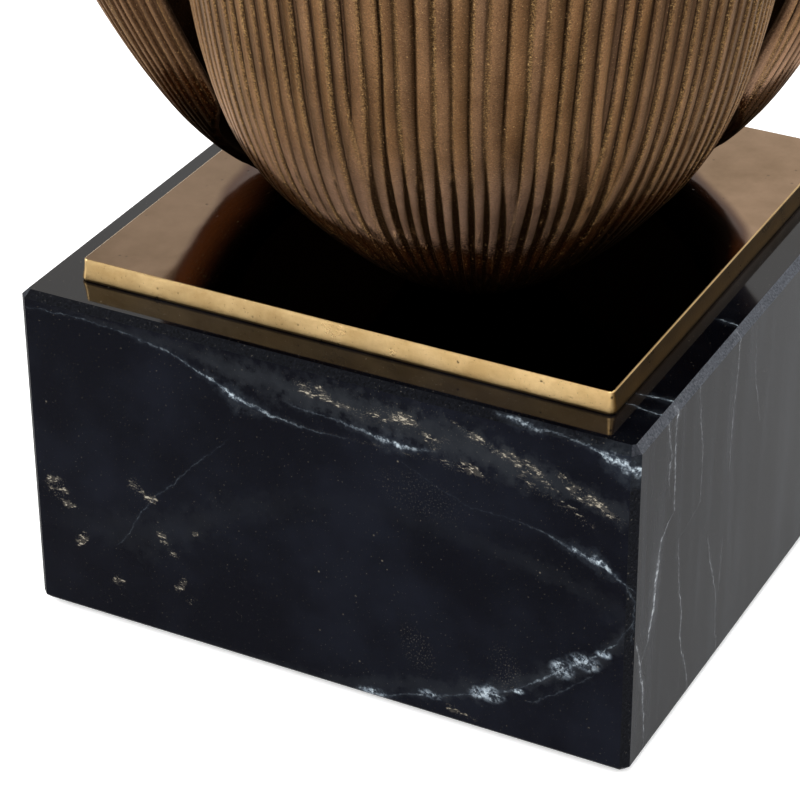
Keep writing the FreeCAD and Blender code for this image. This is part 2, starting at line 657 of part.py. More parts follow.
# ---------------------------------------------------------------- bulb
tip_up = contact_up + "+2.4"
turned("bulb_contact", [("0", "0"), ("2.4", "0"), ("3.2", "0.6"), ("3.2", "1.3"), ("0", "1.3")], tip_up)
turned("bulb_insulator", [("0", "0"), ("3.2", "0"), ("9.5", "3.5"), ("0", "3.5")], tip_up + "+1.3")
turned("bulb_cap", [
    ("8.4", "0"), ("9.5", "0"), ("bulb_thread_r", "3"), ("bulb_thread_r", "bulb_cap_len"),
    ("bulb_thread_r-0.6", "bulb_cap_len"), ("bulb_thread_r-0.6", "3.3"), ("8.4", "0.6")], tip_up + "+4.8")
GLASS = [(12.3, 3.5), (12.3, 20.2), (13.6, 25.5), (17.6, 35.0), (23.4, 45.5), (28.2, 55.5), (30.0, 66.0),
         (28.6, 77.0), (24.0, 87.0), (16.5, 94.5), (8.2, 98.4)]
TOP = 99.6
scale = NUMBER["bulb_belly_r"] / 30.0


def glass_line(inset):
    points = [Vector((r - inset) * scale, 0, z) for r, z in GLASS[1:]] + [Vector(0, 0, TOP - inset)]
    curve = Part.BSplineCurve()
    curve.interpolate(Points=points, InitialTangent=Vector(0, 0, 1), FinalTangent=Vector(-1, 0, 0))
    start = Vector((GLASS[0][0] - inset) * scale, 0, GLASS[0][1])
    return start, points[0], points[-1], curve.toShape()


s0, s1, s2, outside = glass_line(0.0)
t0, t1, t2, inside = glass_line(1.0)
wire = Part.Wire(Part.__sortEdges__([Part.makeLine(s0, s1), outside, Part.makeLine(s2, t2), inside,
                                     Part.makeLine(t1, t0), Part.makeLine(t0, s0)]))
glass = Part.Face(wire).revolve(Vector(0, 0, 0), Vector(0, 0, 1), 360)
shape_part("bulb_globe", glass, Placement(Vector(0, 0, val(tip_up + "+4.8")), Rotation()))


# ---------------------------------------------------------------- harp
def rounded_path(points, radii):
    """Straight runs joined by tangent arcs; radii are for the inner points."""
    made = []
    start = points[0]
    for i in range(1, len(points) - 1):
        a, b, c = points[i - 1], points[i], points[i + 1]
        u, v = (a - b).normalize(), (c - b).normalize()
        half_turn = math.acos(max(-1.0, min(1.0, u.dot(v)))) / 2
        back = radii[i - 1] / math.tan(half_turn)
        p, q = b + u * back, b + v * back
        bisector = (u + v).normalize()
        middle = b + bisector * (radii[i - 1] / math.sin(half_turn) - radii[i - 1])
        made.append(Part.makeLine(start, p))
        made.append(Part.Arc(p, middle, q).toShape())
        start = q
    made.append(Part.makeLine(start, points[-1]))
    return Part.Wire(made)


def swept(points, radii, radius):
    path = rounded_path(points, radii)
    direction = (points[1] - points[0]).normalize()
    section = Part.Wire(Part.makeCircle(radius, points[0], direction))
    solid = path.makePipeShell([section], True, True)
    expected = math.pi * radius ** 2 * path.Length
    if abs(solid.Volume - expected) > 0.01 * expected:
        raise RuntimeError("swept wire has the wrong volume")
    return solid


px, belly, up = NUMBER["post_x"], NUMBER["harp_belly"], NUMBER["harp_up"]
side = [Vector(px, 0, 0), Vector(px, 0, 16), Vector(belly, 0, 88), Vector(belly, 0, 152), Vector(13.5, 0, up)]
loop = side + [Vector(-p.x, 0, p.z) for p in reversed(side)]
harp_zero = val(saddle_up + "+strap_t+harp_from")
harp = swept(loop, [24.0, 60.0, 52.0, 4.0, 4.0, 52.0, 60.0, 24.0], NUMBER["harp_wire_r"])
shape_part("harp_wire", harp, Placement(Vector(0, 0, harp_zero), Rotation()))

ferrules = []
for x in (-px, px):
    tube = Part.makeCylinder(NUMBER["ferrule_r"], NUMBER["ferrule_len"], Vector(x, 0, 0))
    tube = tube.makeChamfer(0.7, [e for e in tube.Edges if len(e.Vertexes) == 1])
    ferrules.append(tube.cut(Part.makeCylinder(NUMBER["harp_wire_r"], NUMBER["ferrule_len"], Vector(x, 0, 0))))
ferrule_z = val(saddle_up + "+strap_t+harp_gap")
shape_part("harp_ferrules", Part.makeCompound(ferrules), Placement(Vector(0, 0, ferrule_z), Rotation()))

bar_z = harp_zero + up
boss = Part.makeCylinder(NUMBER["boss_r"], val("boss_under+boss_over+harp_wire_r"), Vector(0, 0, -val("boss_under+harp_wire_r")))
boss = boss.makeChamfer(0.8, [e for e in boss.Edges if len(e.Vertexes) == 1])
boss = boss.fuse(Part.makeCylinder(NUMBER["stud_r"], NUMBER["stud_up"], Vector(0, 0, NUMBER["boss_over"])))
boss = boss.removeSplitter()
boss = boss.cut(Part.makeCylinder(NUMBER["harp_wire_r"], 40, Vector(-20, 0, 0), Vector(1, 0, 0)))
shape_part("harp_stud", boss, Placement(Vector(0, 0, bar_z), Rotation()))

# ---------------------------------------------------------------- shade
foot_r, head_r, tall = NUMBER["shade_foot_r"], NUMBER["shade_head_r"], NUMBER["shade_len"]


def cone_band(label, out, thick, low, high):
    """A thin conical band. out is how far its outer face stands off the cloth's outer face."""
    lean = (head_r - foot_r) / tall
    points = [
        (foot_r + lean * low + out - thick, low), (foot_r + lean * low + out, low),
        (foot_r + lean * high + out, high), (foot_r + lean * high + out - thick, high)]
    return turned(label, [(repr(round(r, 5)), repr(z)) for r, z in points], "shade_low")


turned("shade_cloth", [
    ("shade_foot_r-cloth_t", "0"), ("shade_foot_r", "0"), ("shade_head_r", "shade_len"),
    ("shade_head_r-cloth_t", "shade_len")], "shade_low")
turned("shade_liner", [
    ("shade_foot_r-cloth_t-card_t", "0"), ("shade_foot_r-cloth_t", "0"), ("shade_head_r-cloth_t", "shade_len"),
    ("shade_head_r-cloth_t-card_t", "shade_len")], "shade_low")
cone_band("shade_foot_trim", NUMBER["trim_t"], NUMBER["trim_t"], 0.0, NUMBER["trim_len"])
cone_band("shade_head_trim", NUMBER["trim_t"], NUMBER["trim_t"], tall - NUMBER["trim_len"], tall)

wire_r = NUMBER["ring_wire_r"]
lean = (head_r - foot_r) / tall
inner_off = val("cloth_t+card_t") + 0.02
foot_ring_r = foot_r + lean * wire_r - inner_off - wire_r / math.cos(math.atan(lean))
foot_ring = doc.addObject("Part::Torus", "shade_foot_ring")
foot_ring.Radius1 = foot_ring_r
bind(foot_ring, "Radius2", "ring_wire_r")
bind(foot_ring, "Placement.Base.z", "shade_low+ring_wire_r")
keep(foot_ring, "shade_foot_ring")

ring_z = tall - wire_r
head_ring_r = foot_r + lean * ring_z - inner_off - wire_r / math.cos(math.atan(lean))
hub_r, hub_t = NUMBER["spider_hub_r"], NUMBER["spider_hub_t"]
hub_top = tall - NUMBER["spider_drop"] + 1.0
hub_mid = hub_top - hub_t / 2
head_ring = doc.addObject("Part::Torus", "shade_head_ring")
head_ring.Radius1 = head_ring_r
bind(head_ring, "Radius2", "ring_wire_r")
bind(head_ring, "Placement.Base.z", "shade_low+shade_len-ring_wire_r")
keep(head_ring, "shade_head_ring")

torus = Part.makeTorus(head_ring_r, wire_r, Vector(0, 0, ring_z))
frame = Part.makeCylinder(hub_r + 3, hub_t, Vector(0, 0, hub_top - hub_t))
for angle in (90.0, 210.0, 330.0):
    arm = swept([Vector(hub_r + 1.5, 0, hub_mid), Vector(head_ring_r - 16, 0, hub_mid), Vector(head_ring_r, 0, ring_z)],
                [14.0], 1.5)
    arm.Placement = Placement(Vector(), Rotation(Vector(0, 0, 1), angle))
    frame = frame.fuse(arm)
frame = frame.cut(Part.makeCylinder(NUMBER["spider_hole_r"], 20, Vector(0, 0, hub_top - 10)))
# the arms are welded to the inside of the head ring and end on its wire
frame = frame.cut(torus).common(Part.makeCylinder(head_ring_r, 60, Vector(0, 0, hub_top - 40))).removeSplitter()
if len(frame.Solids) != 1:
    frame = max(frame.Solids, key=lambda solid: solid.Volume)
shape_part("shade_spider", frame, Placement(Vector(0, 0, NUMBER["shade_low"]), Rotation()))

# ---------------------------------------------------------------- finial
finial_z = NUMBER["shade_low"] + hub_top + NUMBER["finial_gap"]
finial = turned("finial", [
    ("finial_bore_r", "0"), ("8", "0"), ("8.6", "0.8"), ("8.4", "2"), ("5.4", "3.4"), ("4.4", "5.2"), ("4.8", "7"),
    ("8", "9.2"), ("10", "12.4"), ("10.6", "16"), ("9.8", "19.6"), ("7.4", "22.8"), ("3.8", "24.8"), ("2.6", "25.8"),
    ("2.8", "27"), ("1.8", "28.4"), ("0", "28.8"), ("0", "14.6"), ("finial_bore_r", "14.6")])
finial.Placement = Placement(Vector(0, 0, finial_z), Rotation())

doc.recompute()
bad = []
for obj in doc.Objects:
    if "Invalid" in obj.State or "Error" in obj.State:
        bad.append("%s %s" % (obj.Label, obj.State))
for obj in SUBPARTS:
    if obj.Shape.isNull() or not obj.Shape.isValid() or not obj.Shape.Solids:
        bad.append("%s has no valid solid" % obj.Label)
if bad:
    raise RuntimeError("; ".join(bad))

os.makedirs("parts", exist_ok=True)
for obj in SUBPARTS:
    box = obj.Shape.BoundBox
    print("%-18s solids %d volume %9.1f  x %7.2f..%7.2f y %7.2f..%7.2f z %7.2f..%7.2f" % (
        obj.Label, len(obj.Shape.Solids), obj.Shape.Volume, box.XMin, box.XMax, box.YMin, box.YMax, box.ZMin, box.ZMax))
    obj.Shape.exportStep("parts/%s.step" % obj.Label)
print(len(SUBPARTS), "sub-parts")
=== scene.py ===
"""Looks of the table lamp: a black marble block, a brass plate, three fluted bronze petals, stem, harp and linen shade."""

import json
import math

import bmesh
import bpy
import numpy as np
from mathutils import Matrix, Vector

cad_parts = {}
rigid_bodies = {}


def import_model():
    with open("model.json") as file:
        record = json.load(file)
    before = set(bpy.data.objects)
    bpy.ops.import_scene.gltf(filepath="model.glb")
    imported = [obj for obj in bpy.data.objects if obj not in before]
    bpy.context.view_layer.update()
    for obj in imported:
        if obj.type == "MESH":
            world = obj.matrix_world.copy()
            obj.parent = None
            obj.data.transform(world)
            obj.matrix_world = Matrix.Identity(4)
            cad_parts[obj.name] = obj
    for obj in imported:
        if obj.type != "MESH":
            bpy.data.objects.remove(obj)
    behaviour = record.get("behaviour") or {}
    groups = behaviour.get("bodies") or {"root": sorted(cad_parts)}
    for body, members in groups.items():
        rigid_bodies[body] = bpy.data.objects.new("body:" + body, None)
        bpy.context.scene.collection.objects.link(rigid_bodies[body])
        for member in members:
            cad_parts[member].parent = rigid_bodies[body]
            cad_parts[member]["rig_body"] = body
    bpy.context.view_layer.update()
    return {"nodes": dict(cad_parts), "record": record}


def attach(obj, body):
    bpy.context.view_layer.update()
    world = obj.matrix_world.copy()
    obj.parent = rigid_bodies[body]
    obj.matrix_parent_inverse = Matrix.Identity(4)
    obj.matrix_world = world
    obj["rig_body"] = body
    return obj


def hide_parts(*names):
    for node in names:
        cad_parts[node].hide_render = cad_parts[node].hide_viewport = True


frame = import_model()
NODES = frame["nodes"]
MM = 0.001
TAU = 2 * math.pi


# ---------------------------------------------------------------- node helper
class Graph:
    """A material and short calls that add nodes to it."""

    def __init__(self, name, **settings):
        self.mat = bpy.data.materials.new(name)
        self.mat.use_nodes = True
        self.tree = self.mat.node_tree
        self.tree.nodes.clear()
        self.out = self.tree.nodes.new("ShaderNodeOutputMaterial")
        self.shader = self.tree.nodes.new("ShaderNodeBsdfPrincipled")
        self.tree.links.new(self.shader.outputs[0], self.out.inputs["Surface"])
        for key, value in settings.items():
            self.set(key, value)
        self._object = None

    def put(self, socket, value):
        if isinstance(value, bpy.types.NodeSocket):
            self.tree.links.new(value, socket)
        else:
            if hasattr(value, "__len__") and socket.type == "RGBA" and len(value) == 3:
                value = tuple(value) + (1.0,)
            socket.default_value = value

    def set(self, key, value):
        self.put(self.shader.inputs[key.replace("_", " ")], value)

    def node(self, kind, **props):
        n = self.tree.nodes.new(kind)
        for key, value in props.items():
            setattr(n, key, value)
        return n

    @property
    def place(self):
        """Place in the row frame, in metres."""
        if self._object is None:
            self._object = self.node("ShaderNodeTexCoord").outputs["Object"]
        return self._object

    def normal(self):
        return self.node("ShaderNodeNewGeometry").outputs["Normal"]

    def attr(self, name):
        n = self.node("ShaderNodeAttribute", attribute_name=name)
        return n.outputs["Fac"]

    def m(self, op, a, b=None, c=None, clamp=False):
        n = self.node("ShaderNodeMath", operation=op, use_clamp=clamp)
        for i, value in enumerate((a, b, c)):
            if value is not None:
                self.put(n.inputs[i], value)
        return n.outputs[0]

    def v(self, op, a, b=None, scale=None):
        n = self.node("ShaderNodeVectorMath", operation=op)
        self.put(n.inputs[0], a)
        if b is not None:
            self.put(n.inputs[1], b)
        if scale is not None:
            self.put(n.inputs["Scale"], scale)
        return n.outputs["Value" if op in ("LENGTH", "DISTANCE", "DOT_PRODUCT") else "Vector"]

    def sep(self, vector):
        n = self.node("ShaderNodeSeparateXYZ")
        self.put(n.inputs[0], vector)
        return n.outputs[0], n.outputs[1], n.outputs[2]

    def xyz(self, x=0.0, y=0.0, z=0.0):
        n = self.node("ShaderNodeCombineXYZ")
        for i, value in enumerate((x, y, z)):
            self.put(n.inputs[i], value)
        return n.outputs[0]

    def mapping(self, vector, place=(0, 0, 0), turn=(0, 0, 0), scale=(1, 1, 1), kind="POINT"):
        n = self.node("ShaderNodeMapping", vector_type=kind)
        self.put(n.inputs[0], vector)
        n.inputs[1].default_value = place
        n.inputs[2].default_value = turn
        n.inputs[3].default_value = scale
        return n.outputs[0]

    def noise(self, vector, scale, detail=2.0, rough=0.5, bend=0.0, color=False):
        n = self.node("ShaderNodeTexNoise")
        self.put(n.inputs["Vector"], vector)
        n.inputs["Scale"].default_value = scale
        n.inputs["Detail"].default_value = detail
        n.inputs["Roughness"].default_value = rough
        n.inputs["Distortion"].default_value = bend
        return n.outputs["Color" if color else "Fac"]

    def cells(self, vector, scale, feature="F1", random=1.0):
        n = self.node("ShaderNodeTexVoronoi", feature=feature)
        self.put(n.inputs["Vector"], vector)
        n.inputs["Scale"].default_value = scale
        n.inputs["Randomness"].default_value = random
        return n.outputs["Distance"], (n.outputs["Color"] if feature != "DISTANCE_TO_EDGE" else None)

    def ease(self, value, low, high, start=0.0, end=1.0):
        n = self.node("ShaderNodeMapRange", interpolation_type="SMOOTHSTEP")
        for i, v in enumerate((value, low, high, start, end)):
            self.put(n.inputs[i], v)
        return n.outputs[0]

    def line(self, value, low, high, start=0.0, end=1.0):
        n = self.node("ShaderNodeMapRange", interpolation_type="LINEAR")
        for i, v in enumerate((value, low, high, start, end)):
            self.put(n.inputs[i], v)
        return n.outputs[0]

    def mix(self, fac, a, b, blend="MIX"):
        n = self.node("ShaderNodeMix", data_type="RGBA", blend_type=blend)
        self.put(n.inputs[0], fac)
        self.put(n.inputs[6], a)
        self.put(n.inputs[7], b)
        return n.outputs[2]

    def ramp(self, fac, stops):
        n = self.node("ShaderNodeValToRGB")
        self.put(n.inputs[0], fac)
        ramp = n.color_ramp
        while len(ramp.elements) < len(stops):
            ramp.elements.new(0.5)
        for e, (at, color) in zip(ramp.elements, sorted(stops, key=lambda s: s[0])):
            e.position = at
            e.color = tuple(color) + (1.0,)
        return n.outputs[0]

    def bump(self, height, distance, strength=1.0, normal=None):
        n = self.node("ShaderNodeBump")
        n.inputs["Strength"].default_value = strength
        n.inputs["Distance"].default_value = distance
        self.put(n.inputs["Height"], height)
        if normal is not None:
            self.put(n.inputs["Normal"], normal)
        self.put(self.shader.inputs["Normal"], n.outputs[0])
        return n.outputs[0]

    def add(self, *values):
        total = values[0]
        for value in values[1:]:
            total = self.m("ADD", total, value)
        return total

    def most(self, *values):
        total = values[0]
        for value in values[1:]:
            total = self.m("MAXIMUM", total, value)
        return total

    def mul(self, *values):
        total = values[0]
        for value in values[1:]:
            total = self.m("MULTIPLY", total, value)
        return total


# ---------------------------------------------------------------- materials of the foot
LOW_A, LOW_B = 0.068, 0.118


def make_bronze():
    """Sand-cast bronze: brown patina, taupe flats, gritty gold shoulders, painted light and shade across the flutes,
    painted shade in the grooves and painted black shade under the cup.
    """
    g = Graph("cast_bronze", Metallic=1.0, Specular_Tint=(0.76, 0.66, 0.58, 1.0))
    p = g.place
    ridge = g.attr("ridge")
    groove = g.attr("groove")
    shoulder = g.attr("shoulder")
    flat = g.attr("flat")
    tone = g.attr("tone")
    up = g.attr("up")
    grain = g.noise(p, 2150.0, 2.0, 0.62)
    fine = g.noise(p, 4000.0, 1.0, 0.5)
    dust = g.noise(p, 1150.0, 2.0, 0.7)
    cloud = g.noise(p, 38.0, 3.0, 0.6)
    patch = g.noise(g.mapping(p, scale=(1.0, 1.0, 0.35)), 150.0, 2.0, 0.6)
    uneven = g.line(g.add(g.mul(patch, 0.55), g.mul(cloud, 0.45)), 0.36, 0.64)
    taupe = g.mix(uneven, (0.106, 0.0625, 0.0405), (0.146, 0.090, 0.061))
    brown = g.mix(uneven, (0.094, 0.0475, 0.0205), (0.146, 0.0785, 0.036))
    # painted light and shade across each flute: the tone attribute lights one flank and shades the other; the flats are
    # also painted brighter towards the foot
    painted_lit = g.line(tone, 0.0, 1.0, 0.40, 1.42)
    brown = g.v("SCALE", brown, scale=painted_lit)
    taupe = g.v("SCALE", taupe, scale=g.mul(g.line(tone, 0.0, 1.0, 0.76, 1.20), g.ease(up, 0.13, 0.30, 1.98, 1.0)))
    color = g.mix(flat, brown, taupe)
    color = g.v("SCALE", color, scale=g.line(g.add(g.mul(grain, 0.55), g.mul(fine, 0.45)), 0.38, 0.62, 0.66, 1.26))
    # painted shade on the long fall of each flute and on the low ground between flutes
    color = g.mix(g.ease(ridge, 0.84, 0.45, 0.0, 0.62), color, (0.030, 0.013, 0.0045))
    # gold grit on the shoulders, partly worn gold and partly a painted highlight on the steep flank
    grit = g.line(g.add(g.mul(grain, 0.7), g.mul(fine, 0.3)), 0.43, 0.58)
    gold = g.mix(grit, (0.034, 0.016, 0.005), g.mix(patch, (0.28, 0.165, 0.066), (0.42, 0.265, 0.115)))
    color = g.mix(g.m("MULTIPLY", shoulder, g.line(dust, 0.36, 0.60, 0.45, 1.0), clamp=True), color, gold)
    # painted shade in the grooves and in the thin line beside each flute, laid on at the end
    painted_groove_shade = g.m("SUBTRACT", 1.0, g.m("POWER", g.m("SUBTRACT", 1.0, groove, clamp=True), 1.8))
    dark = g.m("MULTIPLY", painted_groove_shade, g.line(g.add(g.mul(grain, 0.7), g.mul(cloud, 0.3)), 0.42, 0.70, 1.0, 0.86), clamp=True)
    # red-brown flanks near the foot
    flank = g.m("MULTIPLY", g.ease(ridge, 0.80, 0.45), g.ease(up, 0.26, 0.13), clamp=True)
    color = g.mix(g.mul(flank, 0.75), color, g.mix(grit, (0.022, 0.0080, 0.0026), (0.090, 0.043, 0.017)))
    # painted glints: bright points, most of them on shoulders
    edge = g.add(g.mul(shoulder, 0.075), g.mul(groove, 0.020))
    spark = g.ease(g.add(g.mul(fine, 0.45), g.mul(grain, 0.55), edge), 0.635, 0.710)
    color = g.mix(g.mul(spark, 0.75), color, (0.58, 0.39, 0.185))
    pits = g.ease(g.noise(p, 1000.0, 2.0, 0.6), 0.335, 0.265)
    color = g.mix(g.mul(pits, 0.50), color, (0.030, 0.017, 0.008))
    # painted shade at the foot: black, through a dark red-brown, with a few painted glints
    low = g.add(up, g.mul(g.m("SUBTRACT", cloud, 0.5), 0.030), g.mul(g.m("SUBTRACT", patch, 0.5), 0.030), g.mul(g.m("SUBTRACT", grain, 0.5), 0.040))
    spark = g.most(spark, g.mul(g.ease(g.add(g.mul(fine, 0.45), g.mul(grain, 0.55), g.mul(shoulder, 0.06)), 0.600, 0.670), g.ease(up, LOW_B + 0.03, LOW_B - 0.02)))
    painted_shade_fringe = g.mix(g.mul(spark, 0.75), g.mix(grit, (0.010, 0.0023, 0.0005), (0.028, 0.0078, 0.0016)), (0.34, 0.20, 0.08))
    painted_foot_shade = g.mix(g.mul(g.ease(low, LOW_A - 0.05, LOW_A), spark, 0.5), (0.0010, 0.0004, 0.0002), (0.20, 0.10, 0.035))
    color = g.mix(g.ease(low, LOW_A + 0.030, LOW_B + 0.004), painted_shade_fringe, color)
    color = g.mix(g.ease(low, LOW_A - 0.012, LOW_A + 0.030), painted_foot_shade, color)
    # the painted shade of the grooves goes on last
    color = g.mix(g.m("MULTIPLY", dark, g.m("SUBTRACT", 1.0, g.mul(spark, 0.6))), color, (0.0046, 0.0016, 0.0005))
    g.set("Base Color", color)
    foot_shade_roughness = g.ease(low, LOW_B, LOW_A, 0.0, 0.30)
    g.set("Roughness", g.add(foot_shade_roughness, g.line(g.add(g.mul(grain, 0.5), g.mul(cloud, 0.3), g.mul(flat, -0.20), g.mul(groove, 0.3)), 0.1, 0.6, 0.36, 0.58)))
    height = g.mul(g.add(g.mul(grain, 0.6), g.mul(fine, 0.25), g.mul(g.noise(p, 700.0, 2.0, 0.6), 0.5)), g.add(0.52, g.mul(shoulder, 1.7), g.mul(groove, 0.6)))
    g.bump(height, 0.00040, 1.0)
    return g.mat


def make_marble(kind):
    """Polished black marble, white and beige veins, gritty honed bevels; the front and right kinds carry painted light
    and shade of their own. kind: front, right, top or rest.
    """
    g = Graph("black_marble_" + kind, IOR={"right": 1.080, "top": 1.38}.get(kind, 1.12), Specular_Tint=(1.0, 0.91, 0.80, 1.0) if kind == "top" else (0.84, 0.88, 1.0, 1.0))
    p = g.place
    wander = g.v("SUBTRACT", g.noise(p, 70.0, 2.0, 0.5, color=True), (0.5, 0.5, 0.5))
    jitter = g.v("SUBTRACT", g.noise(p, 420.0, 2.0, 0.6, color=True), (0.5, 0.5, 0.5))
    q = g.v("ADD", p, g.v("ADD", g.v("SCALE", wander, scale=0.0028), g.v("SCALE", jitter, scale=0.0016)))
    x0, y0, z0 = g.sep(p)
    x, y, z = g.sep(q)
    swell = g.line(g.noise(p, 330.0, 3.0, 0.65), 0.3, 0.7, 0.30, 1.6)
    breaks = g.line(g.noise(p, 760.0, 3.0, 0.7), 0.40, 0.62, 0.22, 1.0)

    def vein(along, across, low, high, points, gain=1.0, soft=1.0):
        """A vein that runs with one coordinate. points: (along, across, width, strength), in mm."""
        curves = g.node("ShaderNodeRGBCurve")
        curves.inputs[0].default_value = 1.0
        mapped = g.line(along, low * MM, high * MM, 0.0, 1.0)
        g.put(curves.inputs[1], g.xyz(mapped, mapped, mapped))
        c = curves.mapping
        c.extend = "HORIZONTAL"
        for channel, index, scale in ((0, 1, 200.0), (1, 2, 10.0), (2, 3, 1.0)):
            curve = c.curves[channel]
            data = sorted(((a[0] - low) / (high - low), (a[index] + (100.0 if channel == 0 else 0.0)) / scale) for a in points)
            if data[0][0] > 0.002:
                data.insert(0, (0.0, data[0][1] if channel == 0 else 0.0))
            if data[-1][0] < 0.998:
                data.append((1.0, data[-1][1] if channel == 0 else 0.0))
            curve.points[0].location = data[0]
            curve.points[1].location = data[-1]
            for point in data[1:-1]:
                curve.points.new(*point)
            for point in curve.points:
                point.handle_type = "VECTOR"
        c.update()
        line, width, strength = g.sep(curves.outputs[0])
        here = g.line(across, -0.1, 0.1, 0.0, 1.0)
        off = g.mul(g.m("ABSOLUTE", g.m("SUBTRACT", here, line)), 200.0)
        wide = g.m("MAXIMUM", g.mul(width, 4.6, swell), 0.10)
        share = g.m("DIVIDE", off, wide)
        core = g.ease(share, 0.15, 1.25 * soft, 1.0, 0.0)
        if soft > 1.0:
            return g.mul(core, strength, gain)
        halo = g.ease(share, 0.6, 5.0, 0.10, 0.0)
        return g.mul(g.add(g.mul(core, breaks), halo), strength, gain)

    def blot(centre, size, turn=0.0):
        """A patch on a face: centre and half sizes in mm on the (x, z) face."""
        local = g.mapping(q, (centre[0] * MM, 0.0, centre[1] * MM), (0, -math.radians(turn), 0), (size[0] * MM, 1e3, size[1] * MM), "TEXTURE")
        return g.ease(g.v("LENGTH", local), 0.35, 1.25, 1.0, 0.0)

    clear = g.node("ShaderNodeValue").outputs[0]
    veins, beige, haze = clear, clear, clear
    if kind == "front":
        veins = g.most(
            vein(x, z, -90, 90, [(-90, 94.6, .4, .10), (-83, 96.0, .5, .18), (-67.5, 96.4, .5, .18), (-55, 95.6, .6, .22), (-44.6, 93.4, .7, .30), (-37.2, 90.4, .8, .40),
                                 (-30.3, 87.6, 1.3, .70), (-25.3, 84.8, 2.7, .95), (-19.1, 83.6, 1.7, .70), (-12.6, 81.8, 1.0, .45), (-5.5, 81.0, .8, .30), (4.8, 81.3, .5, .15), (12, 81.4, .3, 0)]),
            vein(x, z, -90, 90, [(-9, 87.0, .4, 0), (-5.4, 86.4, .6, .15), (5.4, 85.8, .7, .25), (12.4, 85.0, .9, .40), (18, 84.2, 1.7, .62), (24, 83.4, 2.3, .80), (29, 83.8, 1.4, .5), (36, 84.2, .3, 0)]),
            vein(x, z, -90, 90, [(18, 81.5, .4, 0), (23, 79.9, .4, .05), (34, 74.3, .4, .05), (45, 70.6, .4, .05), (58, 70.5, .4, .07), (66, 68.7, .6, .22), (73.7, 66.5, 1.7, .65),
                                 (80.1, 65.1, 2.7, .85), (83.4, 63.1, 1.7, .70), (87.9, 60, .7, .35), (90, 57, .5, .2)]),
            vein(z, x, 0, 100, [(66, 74, .3, 0), (60, 87.7, .6, .22), (53.5, 89.3, .6, .22), (46, 89.8, .6, .18), (40, 89.8, .4, 0)]),
            vein(x, z, -90, 90, [(4, .5, .4, 0), (8, 1.5, .8, .3), (14, 2.8, 1.4, .55), (20.7, 4.2, .8, .28), (26, 5.8, .5, .14), (31.5, 7.3, 1.0, .5), (37, 9.0, .8, .22), (43, 12.0, .6, .2),
                                 (50, 14.6, 1.8, .55), (57, 17.5, .7, .3), (62, 21.0, 1.0, .32), (68, 26.5, 1.4, .5), (74, 31.0, 1.8, .55), (80, 35.5, 1.4, .5), (84, 39.3, .8, .35), (87.5, 43.5, .6, .25), (90, 48, .5, .2)]),
            vein(x, z, -90, 90, [(58, 14.5, .5, 0), (64, 16.4, .7, .14), (68, 19.5, .8, .16), (74, 24.5, .7, .12), (79, 29.0, .5, .1), (82, 32, .4, 0)]),
            g.mul(g.most(blot((15.5, 3.8), (5.0, 1.5)), blot((33.2, 8.0), (3.8, 1.4)), blot((47.5, 13.8), (3.2, 1.9)), blot((51.0, 14.2), (4.0, 2.7)), blot((58.8, 17.8), (2.0, .9)),
                         blot((70.8, 29.0), (3.8, 3.2)), blot((77.0, 33.0), (4.8, 2.7)), blot((82.4, 36.8), (2.4, 1.2))),
                  g.ease(g.noise(p, 560.0, 4.0, 0.74), 0.40, 0.60, 0.08, 1.0)),
            vein(x, z, -90, 90, [(50, 99.8, .4, 0), (54.3, 99.3, 1.0, .6), (60, 98.9, 1.2, .65), (66, 98.6, .8, .35), (71.7, 98.1, .7, .3), (76.3, 97.7, .9, .5), (80, 96.6, 2.2, .75), (85.5, 95.2, 3.6, .95), (90, 93.4, 3.2, .9)]),
            vein(x, z, -90, 90, [(-64, 26, .3, 0), (-62, 28.5, .5, .1), (-58.8, 33, .5, .14), (-54.6, 40.1, .6, .2), (-49.2, 47.1, .5, .16), (-40.6, 56.3, .5, .16), (-33, 64.5, .5, .14), (-28.3, 69.7, .4, .08), (-26, 72, .3, 0)]))
        veins = g.mul(veins, 0.86)
        haze = g.most(
            vein(x, z, -90, 90, [(-70, 97.4, 2.0, .2), (-40, 95.2, 5.0, .5), (-10, 91.5, 12.0, .85), (20, 91.0, 14.0, .9), (45, 88.5, 14.0, .9), (70, 84.0, 15.0, .8), (90, 80.0, 9.0, .5)], soft=1.01),
            g.mul(vein(x, z, -90, 90, [(0, 2.0, 6.0, .5), (50, 15.0, 9.0, .8), (80, 33.0, 9.0, .8), (90, 46.0, 8.0, .6)], soft=1.01), 0.7),
            g.mul(vein(x, z, -90, 90, [(-80, 30.0, 10.0, .2), (-50, 34.0, 18.0, .7), (-20, 52.0, 12.0, .4), (10, 62.0, 8.0, .1), (40, 62, 9, .3), (70, 57, 9, .5), (90, 50, 9, .3)], soft=1.01), 0.45))
